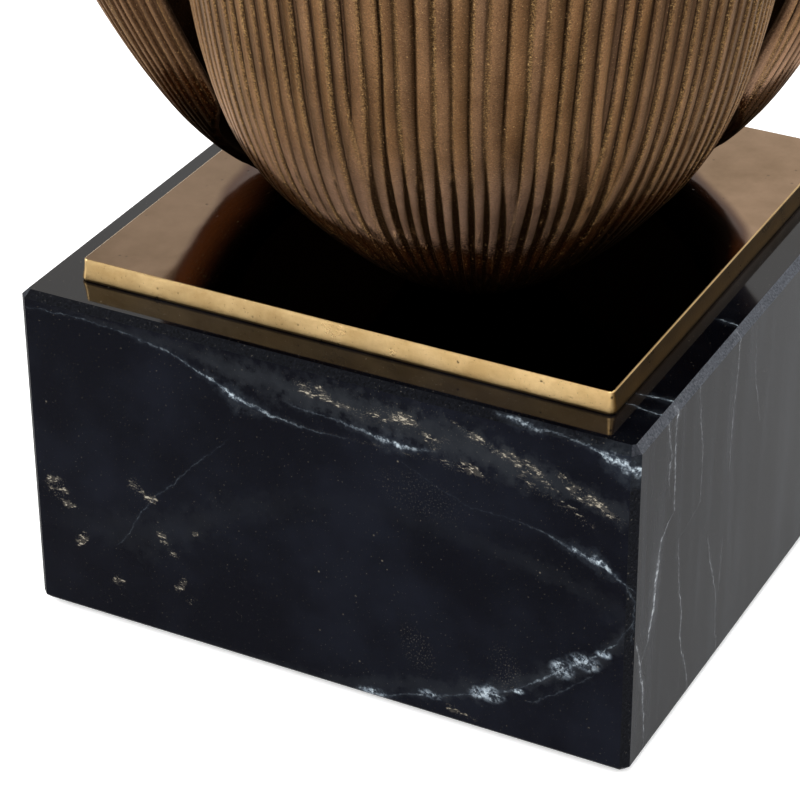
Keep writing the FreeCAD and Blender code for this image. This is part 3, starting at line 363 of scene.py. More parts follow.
        bands = g.most(
            vein(x, z, -90, 90, [(-8, 94.5, 2.4, 0), (-4.3, 93.6, 4.0, .8), (-1.1, 92.9, 5.0, 1.0), (2.9, 91.8, 4.0, .8), (8.1, 90.3, 2.6, .6), (14.5, 90.3, 4.0, .8), (18, 91.5, 4.4, .8), (22, 93.5, 4.0, .5), (25, 95, 3.0, 0)], soft=1.2),
            vein(x, z, -90, 90, [(16, 88.6, 2.0, 0), (20, 89.3, 4.0, .7), (24.5, 91.2, 6.0, .95), (28.8, 91.0, 4.5, .9), (31, 89.0, 4.0, 1.0), (33.5, 86.9, 4.6, 1.0), (36, 87.0, 3.0, .6), (40, 88.6, 2.0, .3), (44, 90, 2.0, 0)], soft=1.2),
            vein(x, z, -90, 90, [(38, 95.6, 2.0, .2), (42.3, 92.9, 3.0, .6), (46.5, 91.1, 3.6, .8), (50, 89.9, 3.6, .75), (55, 89.0, 4.2, .85), (60, 86.7, 4.6, .9), (64.2, 85.2, 4.4, .8), (68, 82.6, 3.0, .5), (72, 80, 2.0, 0)], soft=1.2),
            vein(x, z, -90, 90, [(56, 84.5, 2.0, 0), (59.6, 82.9, 3.6, .6), (62.4, 81.0, 4.6, .9), (66, 80.0, 3.0, .5), (72.3, 77.6, 4.4, .8), (76.2, 75.4, 3.6, .7), (80, 72.5, 2.0, 0)], soft=1.2),
            vein(x, z, -90, 90, [(67, 87.4, 2.0, 0), (69.7, 86.4, 3.6, .6), (74.7, 83.0, 4.8, .9), (79.8, 81.6, 5.0, .95), (84.8, 79.4, 3.6, .7), (88, 78, 2.0, 0)], soft=1.2),
            vein(x, z, -90, 90, [(36, 81.6, 2.0, .3), (38, 81.4, 3.0, .7), (44.9, 81.6, 4.2, .9), (48, 80.6, 3.0, .5), (52, 78.5, 2.0, 0)], soft=1.2),
            vein(x, z, -90, 90, [(37.2, 6.4, 1.4, 0), (39, 6.0, 2.2, .8), (44.2, 5.3, 2.4, .9), (49.5, 5.0, 1.8, .6), (51, 5, 1.0, 0)], soft=1.2))
        patches = g.most(
            blot((-82.0, 39.6), (3.8, 4.8), 30), blot((-78.6, 35.8), (2.8, 2.2), 0), blot((-55.6, 47.4), (3.6, 2.6), -30), blot((-51.6, 45.0), (2.4, 1.8), 20), blot((-74.5, 25.2), (1.7, 3.4), -35),
            blot((-48.3, 33.2), (1.5, 3.4), 20), blot((-45.6, 29.0), (2.4, 1.4), 0), blot((-63.4, 15.2), (2.6, 1.9), 15), blot((-43.5, 19.4), (1.6, 3.8), -25), blot((-40.6, 15.6), (1.5, 1.7), 0), blot((-38.0, 38.0), (1.3, 1.5), 0))
        dusty = g.most(blot((29, 21.5), (4.5, 9.0), 20), blot((55, 24.0), (4.5, 8.5), 10), g.mul(blot((30.0, 70.0), (14.0, 7.0), -10), 0.5))
        # grains in clumps, drawn out along the bands
        lay = g.mapping(p, (0, 0, 0), (0, 0.55, 0), (0.55, 1.0, 1.35))
        fleck = g.ease(g.noise(lay, 1180.0, 3.0, 0.66), 0.535, 0.605)
        clump = g.ease(g.noise(lay, 280.0, 3.0, 0.70), 0.44, 0.62)
        fleck2 = g.ease(g.noise(p, 2100.0, 2.0, 0.5), 0.60, 0.66)
        strong = g.m("MAXIMUM", bands, patches)
        beige = g.most(g.mul(g.ease(g.mul(strong, g.add(0.14, clump)), 0.18, 0.72), g.add(g.mul(fleck, 1.0), 0.09)), g.mul(dusty, fleck2, 0.16), g.mul(strong, fleck2, 0.25))
    elif kind == "right":
        veins = g.mul(g.most(
            vein(z, y, 0, 100, [(100, -23.8, .7, .8), (98.8, -24.0, .7, .8), (96.8, -24.9, .6, .6), (88.9, -25.2, .6, .5), (78, -26.5, .5, .45), (65.7, -27, .5, .4), (53.4, -27.5, .4, 0)]),
            vein(z, y, 0, 100, [(99.6, -65.1, 1.6, 1.0), (97.4, -65.8, 2.2, 1.0), (91.8, -66.2, .9, .6), (85.8, -66.6, 1.2, .7), (77, -65.6, .9, .55), (68.6, -65.0, .7, .5), (66.6, -69.1, 1.0, .6), (64.2, -72.6, 1.3, .8),
                                (60.3, -73.9, 1.6, .9), (53.9, -74.9, 1.8, 1.0), (47.2, -75.7, 1.6, .9), (43.2, -76.7, 1.8, .95), (40.8, -78.0, 2.2, .9), (37.5, -79.3, 1.0, .6), (33.9, -82.9, .7, .5), (30, -85.0, .4, 0)]),
            vein(z, y, 0, 100, [(87, -66.6, .4, 0), (85.3, -69.8, 1.0, .7), (80.8, -69.9, .9, .6), (74, -69.0, .4, 0)]),
            vein(z, y, 0, 100, [(42, -86.9, .4, 0), (39.9, -86.7, .8, .5), (29.7, -83.3, 1.1, .8), (22, -81.2, 1.0, .75), (12.8, -79.9, .8, .6), (5, -79.5, .6, .4)]),
            vein(z, y, 0, 100, [(97.4, -71.2, 1.0, .7), (89.1, -69.4, .7, .45), (79.7, -68.5, .5, 0)]),
            vein(z, y, 0, 100, [(96.6, -51.6, .6, .4), (86.9, -49.2, .6, .45), (76.9, -47.4, .6, .45), (61.8, -47.6, .5, .4), (59.3, -54, .5, .3), (57.7, -61.8, .6, .4), (47.4, -60.3, .7, .6), (30.9, -57, .7, .6),
                                (24, -56.9, .7, .6), (9.7, -51.7, .6, .4), (2, -50, .5, .3)]),
            vein(z, y, 0, 100, [(85.3, -12.4, .5, .3), (75.1, -10, .5, .4), (60.4, -5.2, .4, 0)]),
            vein(z, y, 0, 100, [(47, -40.4, .5, 0), (44.9, -39.9, .6, .4), (36.3, -37.9, .6, .45), (24.7, -33.3, .6, .4), (4.9, -29.9, .5, .3)]),
            vein(z, y, 0, 100, [(40, -29.5, .4, 0), (36.5, -29.9, .5, .35), (27, -30.5, .5, .35), (22, -30.6, .4, 0)]),
            vein(z, y, 0, 100, [(100, 34, .5, .3), (80, 31, .7, .5), (62, 36, .5, .3), (40, 30, .7, .5), (12, 38, .5, .3)]),
            vein(z, y, 0, 100, [(70, 62, .4, 0), (52, 66, .8, .5), (30, 60, .6, .4), (8, 70, .5, .3)])), 0.80)
    else:
        # top
        veins = g.most(
            g.mul(g.most(
                vein(x, y, -90, 90, [(77, -64.9, .3, 0), (79.3, -64.7, .8, .6), (83.1, -64.4, .9, .7), (90, -64.0, 1.2, .9)]),
                vein(x, y, -90, 90, [(77, -70.6, .3, 0), (79.8, -70.9, .8, .6), (83.4, -71.3, .9, .7), (90, -71.9, 1.0, .8)]),
                vein(x, y, -90, 90, [(80, -21.0, .3, 0), (82.9, -21.1, .8, .6), (90, -21.4, .9, .7)]),
                vein(x, y, -90, 90, [(-90, 30, .7, .6), (-80, 22, .6, .5), (-70, 20, .5, .3), (-60, 16, .4, 0)]),
                vein(x, y, -90, 90, [(-50, 90, .4, .4), (-20, 82, .8, .7), (10, 85, .6, .5), (50, 79, .8, .6), (90, 84, .6, .5)])), g.m("GREATER_THAN", z0, 0.0975)),
            g.mul(g.most(
                vein(y, z, -90, 90, [(-90, 62, .8, .6), (-60, 70, 1.2, .8), (-35, 66, .9, .6), (-5, 78, 1.6, .9), (20, 74, 1.0, .6), (55, 88, 1.3, .8), (75, 97, .8, .5)]),
                vein(y, z, -90, 90, [(-70, 2, .6, .4), (-40, 14, 1.0, .7), (-15, 12, .7, .5), (15, 26, 1.8, .95), (40, 34, 1.0, .7), (70, 31, .8, .6), (90, 40, .6, .4)]),
                vein(y, z, -90, 90, [(-30, 40, .4, 0), (-10, 47, .7, .4), (20, 50, .5, .3), (60, 60, .7, .5), (90, 66, .6, .4)])), g.m("LESS_THAN", x0, -0.0875)),
            g.mul(g.most(
                vein(x, z, -90, 90, [(-90, 44, .7, .5), (-62, 52, 1.2, .8), (-30, 48, .8, .6), (5, 63, 1.5, .9), (35, 68, 1.0, .7), (60, 84, 1.4, .9), (90, 92, .7, .5)]),
                vein(x, z, -90, 90, [(-60, 96, .5, .4), (-38, 84, .9, .7), (-10, 80, .6, .5), (20, 88, .5, .3), (30, 92, .4, 0)]),
                vein(x, z, -90, 90, [(-20, 4, .5, .4), (12, 12, 1.4, .85), (38, 22, 2.0, .95), (55, 20, 1.0, .6), (90, 34, .7, .5)])), g.m("GREATER_THAN", y0, 0.0875)))
        lay = g.mapping(p, (0, 0, 0), (0.3, 0.55, 0.2), (0.55, 1.0, 1.35))
        fleck = g.ease(g.noise(lay, 1250.0, 2.0, 0.55), 0.565, 0.625)
        clump = g.ease(g.noise(g.mapping(p, (0.2, 0.4, 0.1), (0.4, 0.5, 0.3), (1.0, 1.0, 1.8)), 30.0, 4.0, 0.6), 0.58, 0.70)
        beige = g.mul(clump, fleck, g.m("LESS_THAN", z0, 0.0970), 0.45)
    # a few fine specks everywhere
    d2, tone2 = g.cells(p, 420.0)
    c2, _, _ = g.sep(tone2)
    far = g.mul(g.m("GREATER_THAN", c2, 0.972), g.ease(d2, 0.06, 0.17, 1.0, 0.0))
    fleck3 = g.ease(g.noise(p, 1500.0, 2.0, 0.6), 0.675, 0.72)
    specks = g.m("MAXIMUM", g.mul(far, 0.5), g.mul(fleck3, 0.4))

    # honed, gritty bevels
    nx, ny, nz = g.sep(g.v("ABSOLUTE", g.normal()))
    bevel = g.ease(g.most(nx, ny, nz), 0.985, 0.90)
    grit = g.noise(p, 1500.0, 3.0, 0.7)

    cloud = g.noise(p, 26.0, 4.0, 0.6)
    # painted light and shade by face: the right face and its bevels are painted lighter and the front bevels darker
    # than the others
    if kind == "right":
        black = g.mix(cloud, (0.0072, 0.0074, 0.0086), (0.0125, 0.0128, 0.0142))
        edge_low, edge_high = (0.040, 0.043, 0.050), (0.120, 0.128, 0.146)
    elif kind == "front":
        black = g.mix(g.ease(cloud, 0.38, 0.70), (0.0010, 0.0011, 0.0030), (0.0042, 0.0050, 0.0090))
        edge_low, edge_high = (0.0006, 0.0006, 0.0010), (0.0060, 0.0068, 0.0095)
    else:
        black = g.mix(g.ease(cloud, 0.38, 0.70), (0.0012, 0.0013, 0.0024), (0.0050, 0.0056, 0.0080))
        edge_low, edge_high = (0.010, 0.011, 0.014), (0.050, 0.054, 0.064)
    slate = g.line(g.noise(p, 120.0, 4.0, 0.65), 0.3, 0.7, 0.35, 1.0)
    if kind == "right":
        streak = g.ease(g.noise(g.mapping(p, scale=(1.0, 1.0, 0.09)), 110.0, 3.0, 0.6), 0.42, 0.68)
        black = g.mix(g.mul(streak, 0.7), black, (0.021, 0.0225, 0.026))
    color = g.mix(g.mul(haze, slate), black, (0.0195, 0.0220, 0.0255))
    color = g.mix(bevel, color, g.mix(g.line(grit, 0.35, 0.68), edge_low, edge_high))
    color = g.mix(specks, color, (0.16, 0.14, 0.11))
    color = g.mix(beige, color, g.mix(g.noise(p, 800.0, 2.0, 0.5), (0.13, 0.11, 0.08), (0.50, 0.45, 0.36)))
    tone_low, tone_high = ((0.16, 0.17, 0.19), (0.42, 0.45, 0.48)) if kind == "right" else ((0.06, 0.08, 0.11), (0.52, 0.60, 0.66))
    color = g.mix(veins, color, g.mix(g.mul(breaks, g.line(veins, 0.1, 0.75, 0.25, 1.0)), tone_low, tone_high))
    g.set("Base Color", color)
    rough = g.add(0.050, g.mul(g.most(veins, beige), 0.18), g.mul(bevel, 0.42), g.mul(g.noise(p, 210.0, 2.0, 0.5), 0.03))
    g.set("Roughness", rough)
    height = g.add(g.mul(bevel, grit, 1.0), g.mul(beige, -0.35))
    g.bump(height, 0.00022, 1.0)
    return g.mat


def make_plate():
    """Brass plate: bronze-brown lacquered top with a painted reflection of the petals, almost black round their feet,
    satin gold edge with casting pits, and painted light and shade by side.
    """
    g = Graph("satin_brass", Metallic=1.0, Specular_Tint=(1.0, 0.95, 0.87, 1.0))
    p = g.place
    x, y, z = g.sep(p)
    nx, ny, nz = g.sep(g.normal())
    face = g.ease(nz, 0.80, 0.985)
    cloud = g.noise(p, 24.0, 3.0, 0.55)
    mottle = g.noise(p, 120.0, 3.0, 0.6)
    brown = g.mix(g.line(g.add(g.mul(cloud, 0.6), g.mul(mottle, 0.4)), 0.35, 0.65), (0.205, 0.128, 0.074), (0.315, 0.204, 0.130))
    # painted light: the top lighter towards +X
    brown = g.v("SCALE", brown, scale=g.line(x, -0.07, 0.07, 0.80, 1.22))
    # painted reflection of the petals on the top: dark, with a red-brown fringe, its reach by the angle about the
    # lamp's axis
    curves = g.node("ShaderNodeRGBCurve")
    curves.inputs[0].default_value = 1.0
    turn = g.line(g.m("ARCTAN2", y, x), -math.pi, math.pi, 0.0, 1.0)
    g.put(curves.inputs[1], g.xyz(turn, turn, turn))
    reach = [(-180, 67), (-160, 68), (-150, 70), (-140, 76), (-130, 84), (-120, 95), (-108, 112), (-90, 118), (-40, 118), (-20, 100), (-8, 86), (2, 80), (12, 77), (22, 72), (32, 68),
             (42, 66), (60, 66), (100, 67), (140, 67), (180, 67)]
    curve = curves.mapping.curves[0]
    curves.mapping.extend = "HORIZONTAL"
    data = [((a + 180.0) / 360.0, r / 200.0) for a, r in reach]
    curve.points[0].location = data[0]
    curve.points[1].location = data[-1]
    for point in data[1:-1]:
        curve.points.new(*point)
    curves.mapping.update()
    edge_of_dark = g.mul(g.sep(curves.outputs[0])[0], 0.2)
    inside = g.m("SUBTRACT", g.add(edge_of_dark, g.mul(g.m("SUBTRACT", cloud, 0.5), 0.004)), g.v("LENGTH", g.xyz(x, y, 0.0)))
    brown = g.mix(g.ease(inside, -0.0016, 0.0022), brown, (0.070, 0.0190, 0.0048))
    brown = g.mix(g.ease(inside, 0.001, g.line(x, -0.06, 0.04, 0.017, 0.006)), brown, (0.0035, 0.0011, 0.0005))
    # the painted reflection's fringe is made less metallic
    painted_reflection_matte = g.mul(g.ease(inside, -0.002, 0.004), g.ease(inside, g.line(x, -0.06, 0.04, 0.021, 0.011), 0.004), face, 0.62)
    gold = g.mix(g.line(g.noise(p, 90.0, 4.0, 0.65), 0.35, 0.65), (0.53, 0.35, 0.150), (0.69, 0.485, 0.235))
    # painted shade: the +X side of the edge darker, more so towards its top
    gold = g.mix(g.m("MULTIPLY", g.ease(nx, 0.35, 0.97), g.ease(z, 0.1064, 0.1059, 0.0, 1.0), clamp=True), gold, g.v("SCALE", (0.100, 0.054, 0.0150), scale=g.line(z, 0.1020, 0.1058, 1.0, 0.55)))
    gold = g.mix(g.ease(g.mul(g.noise(p, 14.0, 3.0, 0.5), g.ease(ny, 0.5, 0.95)), 0.3, 0.6), gold, (0.30, 0.19, 0.08))
    # painted light: the edge lighter towards +X
    gold = g.v("SCALE", gold, scale=g.line(x, -0.02, 0.08, 0.90, 1.20))
    color = g.mix(face, gold, brown)
    d, tone = g.cells(p, 520.0)
    c, _, _ = g.sep(tone)
    pit = g.mul(g.m("GREATER_THAN", c, 0.955), g.ease(d, 0.10, 0.30, 1.0, 0.0))
    fine = g.ease(g.noise(p, 1500.0, 2.0, 0.6), 0.35, 0.27)
    dark = g.m("MAXIMUM", g.mul(pit, g.line(face, 0.0, 1.0, 0.75, 0.45)), g.mul(fine, g.line(face, 0.0, 1.0, 0.50, 0.06)))
    color = g.mix(dark, color, (0.035, 0.022, 0.012))
    g.set("Metallic", g.m("SUBTRACT", 1.0, painted_reflection_matte))
    # specks of gold in the dark part
    fleck = g.mul(g.ease(g.noise(p, 1500.0, 1.0, 0.5), 0.735, 0.775), face, g.ease(inside, 0.0, 0.01))
    color = g.mix(g.mul(fleck, 0.5), color, (0.30, 0.22, 0.12))
    g.set("Base Color", color)
    g.set("Roughness", g.line(face, 0.0, 1.0, g.line(mottle, 0.3, 0.7, 0.26, 0.38), g.line(cloud, 0.3, 0.7, 0.055, 0.09)))
    height = g.add(g.mul(dark, -0.5), g.mul(g.noise(p, 1500.0, 2.0, 0.5), g.line(face, 0.0, 1.0, 0.35, 0.02)), g.mul(g.noise(p, 60.0, 2.0, 0.5), 0.30))
    g.bump(height, 0.00009, 1.0)
    return g.mat


# ---------------------------------------------------------------- materials of the rest
def make_metal(name, low, high, rough, turned=0.0, scale=60.0, wear=None):
    """Machined metal. turned > 0 adds the fine rings of a lathe tool about the lamp's axis."""
    g = Graph(name, Metallic=1.0)
    p = g.place
    cloud = g.noise(p, scale, 3.0, 0.6)
    color = g.mix(g.line(cloud, 0.32, 0.68), low, high)
    smudge = g.ease(g.noise(p, scale * 3.1, 3.0, 0.65), 0.55, 0.72)
    color = g.mix(g.mul(smudge, 0.35), color, tuple(0.62 * c for c in low))
    g.set("Base Color", color)
    _, _, z = g.sep(p)
    rings = g.noise(g.xyz(0.0, 0.0, z), 5200.0, 2.0, 0.6)
    fine = g.noise(p, 2600.0, 2.0, 0.6)
    g.set("Roughness", g.line(g.add(g.mul(cloud, 0.6), g.mul(fine, 0.4)), 0.3, 0.7, rough * 0.8, rough * 1.3))
    g.bump(g.add(g.mul(rings, turned), g.mul(fine, 0.30), g.mul(smudge, -0.2)), 0.00003, 1.0)
    return g.mat


def make_felt():
    g = Graph("felt", Roughness=0.95, Sheen_Weight=0.35, Sheen_Roughness=0.6)
    p = g.place
    fibre = g.noise(p, 900.0, 4.0, 0.7, 1.5)
    color = g.mix(g.line(fibre, 0.3, 0.7), (0.012, 0.013, 0.012), (0.045, 0.047, 0.044))
    g.set("Base Color", color)
    g.bump(fibre, 0.0005, 0.9)
    return g.mat


def make_plastic(name, low, high, rough, grain=1400.0, depth=0.00006):
    g = Graph(name, IOR=1.49)
    p = g.place
    cloud = g.noise(p, 70.0, 3.0, 0.6)
    fine = g.noise(p, grain, 2.0, 0.6)
    g.set("Base Color", g.mix(g.line(g.add(g.mul(cloud, 0.7), g.mul(fine, 0.3)), 0.35, 0.65), low, high))
    g.set("Roughness", g.line(fine, 0.3, 0.7, rough * 0.85, rough * 1.2))
    g.bump(fine, depth, 1.0)
    return g.mat


def polar(g, radius):
    """Angle about the lamp's axis as a length at that radius, and the height."""
    x, y, z = g.sep(g.place)
    return g.mul(g.m("ARCTAN2", y, x), radius), z


def make_linen():
    """Natural linen: uneven warp and weft threads with slubs."""
    g = Graph("shade_linen", Roughness=0.9, Sheen_Weight=0.15, Sheen_Roughness=0.5)
    around, z = polar(g, 0.222)
    drift = g.m("SUBTRACT", g.noise(g.xyz(around, z, 0.0), 55.0, 2.0, 0.5), 0.5)
    wobble = g.m("SUBTRACT", g.noise(g.xyz(z, around, 0.3), 60.0, 2.0, 0.5), 0.5)
    u = g.mul(g.add(around, g.mul(drift, 0.0012)), TAU / 0.00085)
    w = g.mul(g.add(z, g.mul(wobble, 0.0012)), TAU / 0.00092)
    warp = g.m("SINE", u)
    weft = g.m("SINE", w)
    slub_a = g.noise(g.xyz(g.mul(around, 1100.0), g.mul(z, 26.0), 0.0), 1.0, 2.0, 0.6)
    slub_b = g.noise(g.xyz(g.mul(around, 24.0), g.mul(z, 1050.0), 4.0), 1.0, 2.0, 0.6)
    over = g.m("SINE", g.add(g.mul(u, 0.5), g.mul(w, 0.5)))
    thread_a = g.mul(g.line(warp, -1.0, 1.0, 0.0, 1.0), g.line(slub_a, 0.3, 0.7, 0.6, 1.25))
    thread_b = g.mul(g.line(weft, -1.0, 1.0, 0.0, 1.0), g.line(slub_b, 0.3, 0.7, 0.6, 1.25))
    height = g.add(g.m("MAXIMUM", g.mul(thread_a, g.line(over, -1.0, 1.0, 0.55, 1.0)), g.mul(thread_b, g.line(over, -1.0, 1.0, 1.0, 0.55))),
                   g.mul(g.noise(g.place, 2400.0, 2.0, 0.6), 0.25))
    slubs = g.m("MAXIMUM", g.ease(slub_a, 0.60, 0.74), g.ease(slub_b, 0.60, 0.74))
    tone = g.line(height, 0.15, 1.2, 0.0, 1.0)
    color = g.mix(tone, (0.34, 0.300, 0.240), (0.56, 0.520, 0.445))
    color = g.mix(g.mul(slubs, 0.45), color, (0.40, 0.335, 0.245))
    color = g.mix(g.mul(g.noise(g.place, 14.0, 2.0, 0.5), 0.12), color, (0.38, 0.335, 0.275))
    g.set("Base Color", color)
    g.bump(height, 0.00030, 0.9)
    return g.mat


def make_tape():
    g = Graph("shade_tape", Roughness=0.88, Sheen_Weight=0.12, Sheen_Roughness=0.5)
    around, z = polar(g, 0.222)
    ribs = g.m("SINE", g.mul(g.add(around, g.mul(z, 0.55)), TAU / 0.0011))
    weft = g.m("SINE", g.mul(z, TAU / 0.0008))
    slub = g.noise(g.xyz(g.mul(around, 60.0), g.mul(z, 900.0), 2.0), 1.0, 2.0, 0.6)
    height = g.add(g.line(ribs, -1.0, 1.0, 0.0, 0.6), g.line(weft, -1.0, 1.0, 0.0, 0.4), g.mul(slub, 0.3))
    g.set("Base Color", g.mix(g.line(height, 0.1, 1.1), (0.33, 0.285, 0.225), (0.51, 0.470, 0.395)))
    g.bump(height, 0.00025, 0.9)
    return g.mat


def make_card():
    g = Graph("shade_card", Roughness=0.62)
    p = g.place
    fibre = g.noise(p, 700.0, 4.0, 0.7, 1.0)
    cloud = g.noise(p, 18.0, 2.0, 0.5)
    g.set("Base Color", g.mix(g.line(g.add(g.mul(fibre, 0.5), g.mul(cloud, 0.5)), 0.3, 0.7), (0.60, 0.59, 0.56), (0.70, 0.69, 0.66)))
    g.bump(fibre, 0.00010, 0.7)
    return g.mat


def make_opal():
    """Opal-coated bulb glass."""
    g = Graph("opal_glass", IOR=1.5, Subsurface_Weight=0.20, Subsurface_Scale=0.003, Subsurface_Radius=(1.0, 0.95, 0.90), Coat_Weight=0.4, Coat_Roughness=0.05)
    p = g.place
    cloud = g.noise(p, 30.0, 3.0, 0.5)
    coat = g.noise(p, 1800.0, 2.0, 0.5)
    _, _, z = g.sep(p)
    neck = g.ease(z, 0.535, 0.512)
    color = g.mix(g.line(cloud, 0.3, 0.7), (0.74, 0.735, 0.71), (0.82, 0.815, 0.79))
    g.set("Base Color", g.mix(g.mul(neck, 0.35), color, (0.62, 0.61, 0.58)))
    g.set("Roughness", g.line(coat, 0.3, 0.7, 0.22, 0.34))
    g.bump(coat, 0.00002, 0.6)
    return g.mat


MATERIALS = {
    "felt": make_felt(),
    "black_marble": make_marble("rest"),
    "black_plastic": make_plastic("black_plastic", (0.010, 0.010, 0.011), (0.022, 0.022, 0.023), 0.42),
    "satin_brass": make_plate(),
    "cast_bronze": make_bronze(),
    "zinc_steel": make_metal("zinc_steel", (0.50, 0.50, 0.47), (0.66, 0.66, 0.62), 0.30, 0.5),
    "dark_steel": make_metal("dark_steel", (0.075, 0.065, 0.055), (0.13, 0.115, 0.10), 0.38, 0.4),
    "turned_brass": make_metal("turned_brass", (0.36, 0.235, 0.125), (0.50, 0.345, 0.195), 0.26, 0.9, 22.0),
    "harp_brass": make_metal("harp_brass", (0.50, 0.34, 0.15), (0.64, 0.46, 0.23), 0.24, 0.2, 45.0),
    "socket_brass": make_metal("socket_brass", (0.46, 0.305, 0.13), (0.60, 0.42, 0.20), 0.24, 0.8, 40.0),
    "liner_board": make_plastic("liner_board", (0.30, 0.23, 0.15), (0.42, 0.34, 0.24), 0.8, 700.0, 0.00012),
    "phenolic": make_plastic("phenolic", (0.020, 0.014, 0.010), (0.045, 0.030, 0.020), 0.35),
    "bare_aluminium": make_metal("bare_aluminium", (0.66, 0.66, 0.67), (0.80, 0.80, 0.81), 0.25, 0.4),
    "contact_brass": make_metal("contact_brass", (0.55, 0.40, 0.18), (0.70, 0.53, 0.28), 0.28, 0.2),
    "knob_plastic": make_plastic("knob_plastic", (0.012, 0.011, 0.011), (0.026, 0.024, 0.023), 0.30),
    "solder": make_metal("solder", (0.45, 0.45, 0.46), (0.62, 0.62, 0.63), 0.35, 0.0, 300.0),
    "black_glass": make_plastic("black_glass", (0.006, 0.006, 0.008), (0.014, 0.014, 0.017), 0.08, 500.0, 0.00002),
    "bulb_cap_metal": make_metal("bulb_cap_metal", (0.62, 0.61, 0.58), (0.76, 0.75, 0.72), 0.28, 0.4),
    "opal_glass": make_opal(),
    "shade_linen": make_linen(),
    "shade_card": make_card(),
    "shade_tape": make_tape(),
    "frame_wire": make_metal("frame_wire", (0.70, 0.69, 0.66), (0.82, 0.81, 0.78), 0.33, 0.1, 60.0),
}

SLOT_OF = {}
for entry in frame["record"]["subparts"]:
    SLOT_OF[entry["node"]] = entry["material_slot"]


def body_of(node):
    return NODES[node]["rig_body"]


def slot_of(node):
    return SLOT_OF.get(node)


# ---------------------------------------------------------------- mesh helper
def mesh_piece(name, points, faces, node, smooth=True, attributes=None, sharp_deg=None):
    """A mesh in metres that stands for a CAD node."""
    mesh = bpy.data.meshes.new(name)
    mesh.from_pydata([tuple(p) for p in points], [], [tuple(f) for f in faces])
    mesh.validate()
    if smooth:
        mesh.polygons.foreach_set("use_smooth", [True] * len(mesh.polygons))
    for key, values in (attributes or {}).items():
        layer = mesh.attributes.new(key, "FLOAT", "POINT")
        layer.data.foreach_set("value", np.asarray(values, np.float32))
    mesh.update()
    if sharp_deg:
        mesh.set_sharp_from_angle(angle=math.radians(sharp_deg))
    piece = bpy.data.objects.new(name, mesh)
    bpy.context.scene.collection.objects.link(piece)
    slot = slot_of(node)
    mesh.materials.append(MATERIALS[slot])
    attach(piece, body_of(node))
    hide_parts(node)
    return piece


# ---------------------------------------------------------------- petals
STATIONS = [
    (0.0, 54.4, 28.0, 22.6, 56.0), (12.0, 74.0, 29.0, 37.2, 60.0), (28.0, 85.4, 28.9, 55.5, 68.5), (50.0, 101.6, 32.2, 67.1, 82.0),
    (80.0, 119.8, 41.7, 72.9, 81.0), (115.0, 135.0, 47.2, 77.0, 81.8), (150.0, 144.0, 52.0, 83.0, 82.0), (180.0, 144.0, 52.5, 87.0, 80.5),
    (210.0, 136.5, 49.5, 84.0, 75.0), (240.0, 121.0, 42.5, 75.5, 64.5), (264.0, 102.5, 34.0, 64.5, 50.5), (279.0, 88.0, 27.5, 55.5, 36.0),
    (288.5, 77.6, 22.6, 48.5, 18.0), (291.0, 74.6, 21.2, 46.5, 6.0)]
PLATE_TOP = 106.4
PETAL_TURN = 28.7
PETAL_WALL = 3.0


def natural_spline(xs, ys):
    xs, ys = np.asarray(xs, float), np.asarray(ys, float)
    n = len(xs)
    h = np.diff(xs)
    a = np.zeros((n, n))
    b = np.zeros(n)
    a[0, 0] = a[-1, -1] = 1.0
    for i in range(1, n - 1):
        a[i, i - 1], a[i, i], a[i, i + 1] = h[i - 1], 2 * (h[i - 1] + h[i]), h[i]
        b[i] = 6 * ((ys[i + 1] - ys[i]) / h[i] - (ys[i] - ys[i - 1]) / h[i - 1])
    second = np.linalg.solve(a, b)

    def at(x):
        x = np.asarray(x, float)
        i = np.clip(np.searchsorted(xs, x) - 1, 0, n - 2)
        g = h[i]
        p, q = (xs[i + 1] - x) / g, (x - xs[i]) / g
        return p * ys[i] + q * ys[i + 1] + ((p ** 3 - p) * second[i] + (q ** 3 - q) * second[i + 1]) * g * g / 6

    return at


def easing_spline(xs, ys):
    xs, ys = np.asarray(xs, float), np.asarray(ys, float)
    n = len(xs)
    chord = np.diff(ys) / np.diff(xs)
    lean = np.zeros(n)
    lean[0], lean[-1] = chord[0], chord[-1]
    for i in range(1, n - 1):
        if chord[i - 1] * chord[i] > 0:
            lean[i] = 2 * chord[i - 1] * chord[i] / (chord[i - 1] + chord[i])

    def at(x):
        x = np.asarray(x, float)
        i = np.clip(np.searchsorted(xs, x) - 1, 0, n - 2)
        g = xs[i + 1] - xs[i]
        u = (x - xs[i]) / g
        return (ys[i] * (1 + 2 * u) * (1 - u) ** 2 + lean[i] * g * u * (1 - u) ** 2
                + ys[i + 1] * u * u * (3 - 2 * u) + lean[i + 1] * g * u * u * (u - 1))

    return at


UPS = [s[0] for s in STATIONS]
REACH = natural_spline(UPS, [s[1] for s in STATIONS])
CENTRE = natural_spline(UPS, [s[2] for s in STATIONS])
HALF = natural_spline(UPS, [s[3] for s in STATIONS])
SPAN = easing_spline(UPS, [s[4] for s in STATIONS])


def petal_surface(up, share):
    """Outer face of a petal in its own frame (+X outwards), in mm. up and share are arrays of one shape."""
    low = np.minimum(up, 0.0)
    at = np.maximum(up, 0.0)
    angle = np.radians(SPAN(at)) * share
    c = CENTRE(at) + low * 0.35
    r = REACH(at) + low * 1.6
    w = HALF(at) + low * 1.2
    return np.stack([c + (r - c) * np.cos(angle), w * np.sin(angle), up], axis=-1)


def petal_normal(up, share):
    du = petal_surface(up + 0.05, share) - petal_surface(up - 0.05, share)
    ds = petal_surface(up, share + 0.002) - petal_surface(up, share - 0.002)
    n = np.cross(ds, du)
    return n / np.linalg.norm(n, axis=-1, keepdims=True)


def smoothstep(t):
    t = np.clip(t, 0.0, 1.0)
    return t * t * (3 - 2 * t)


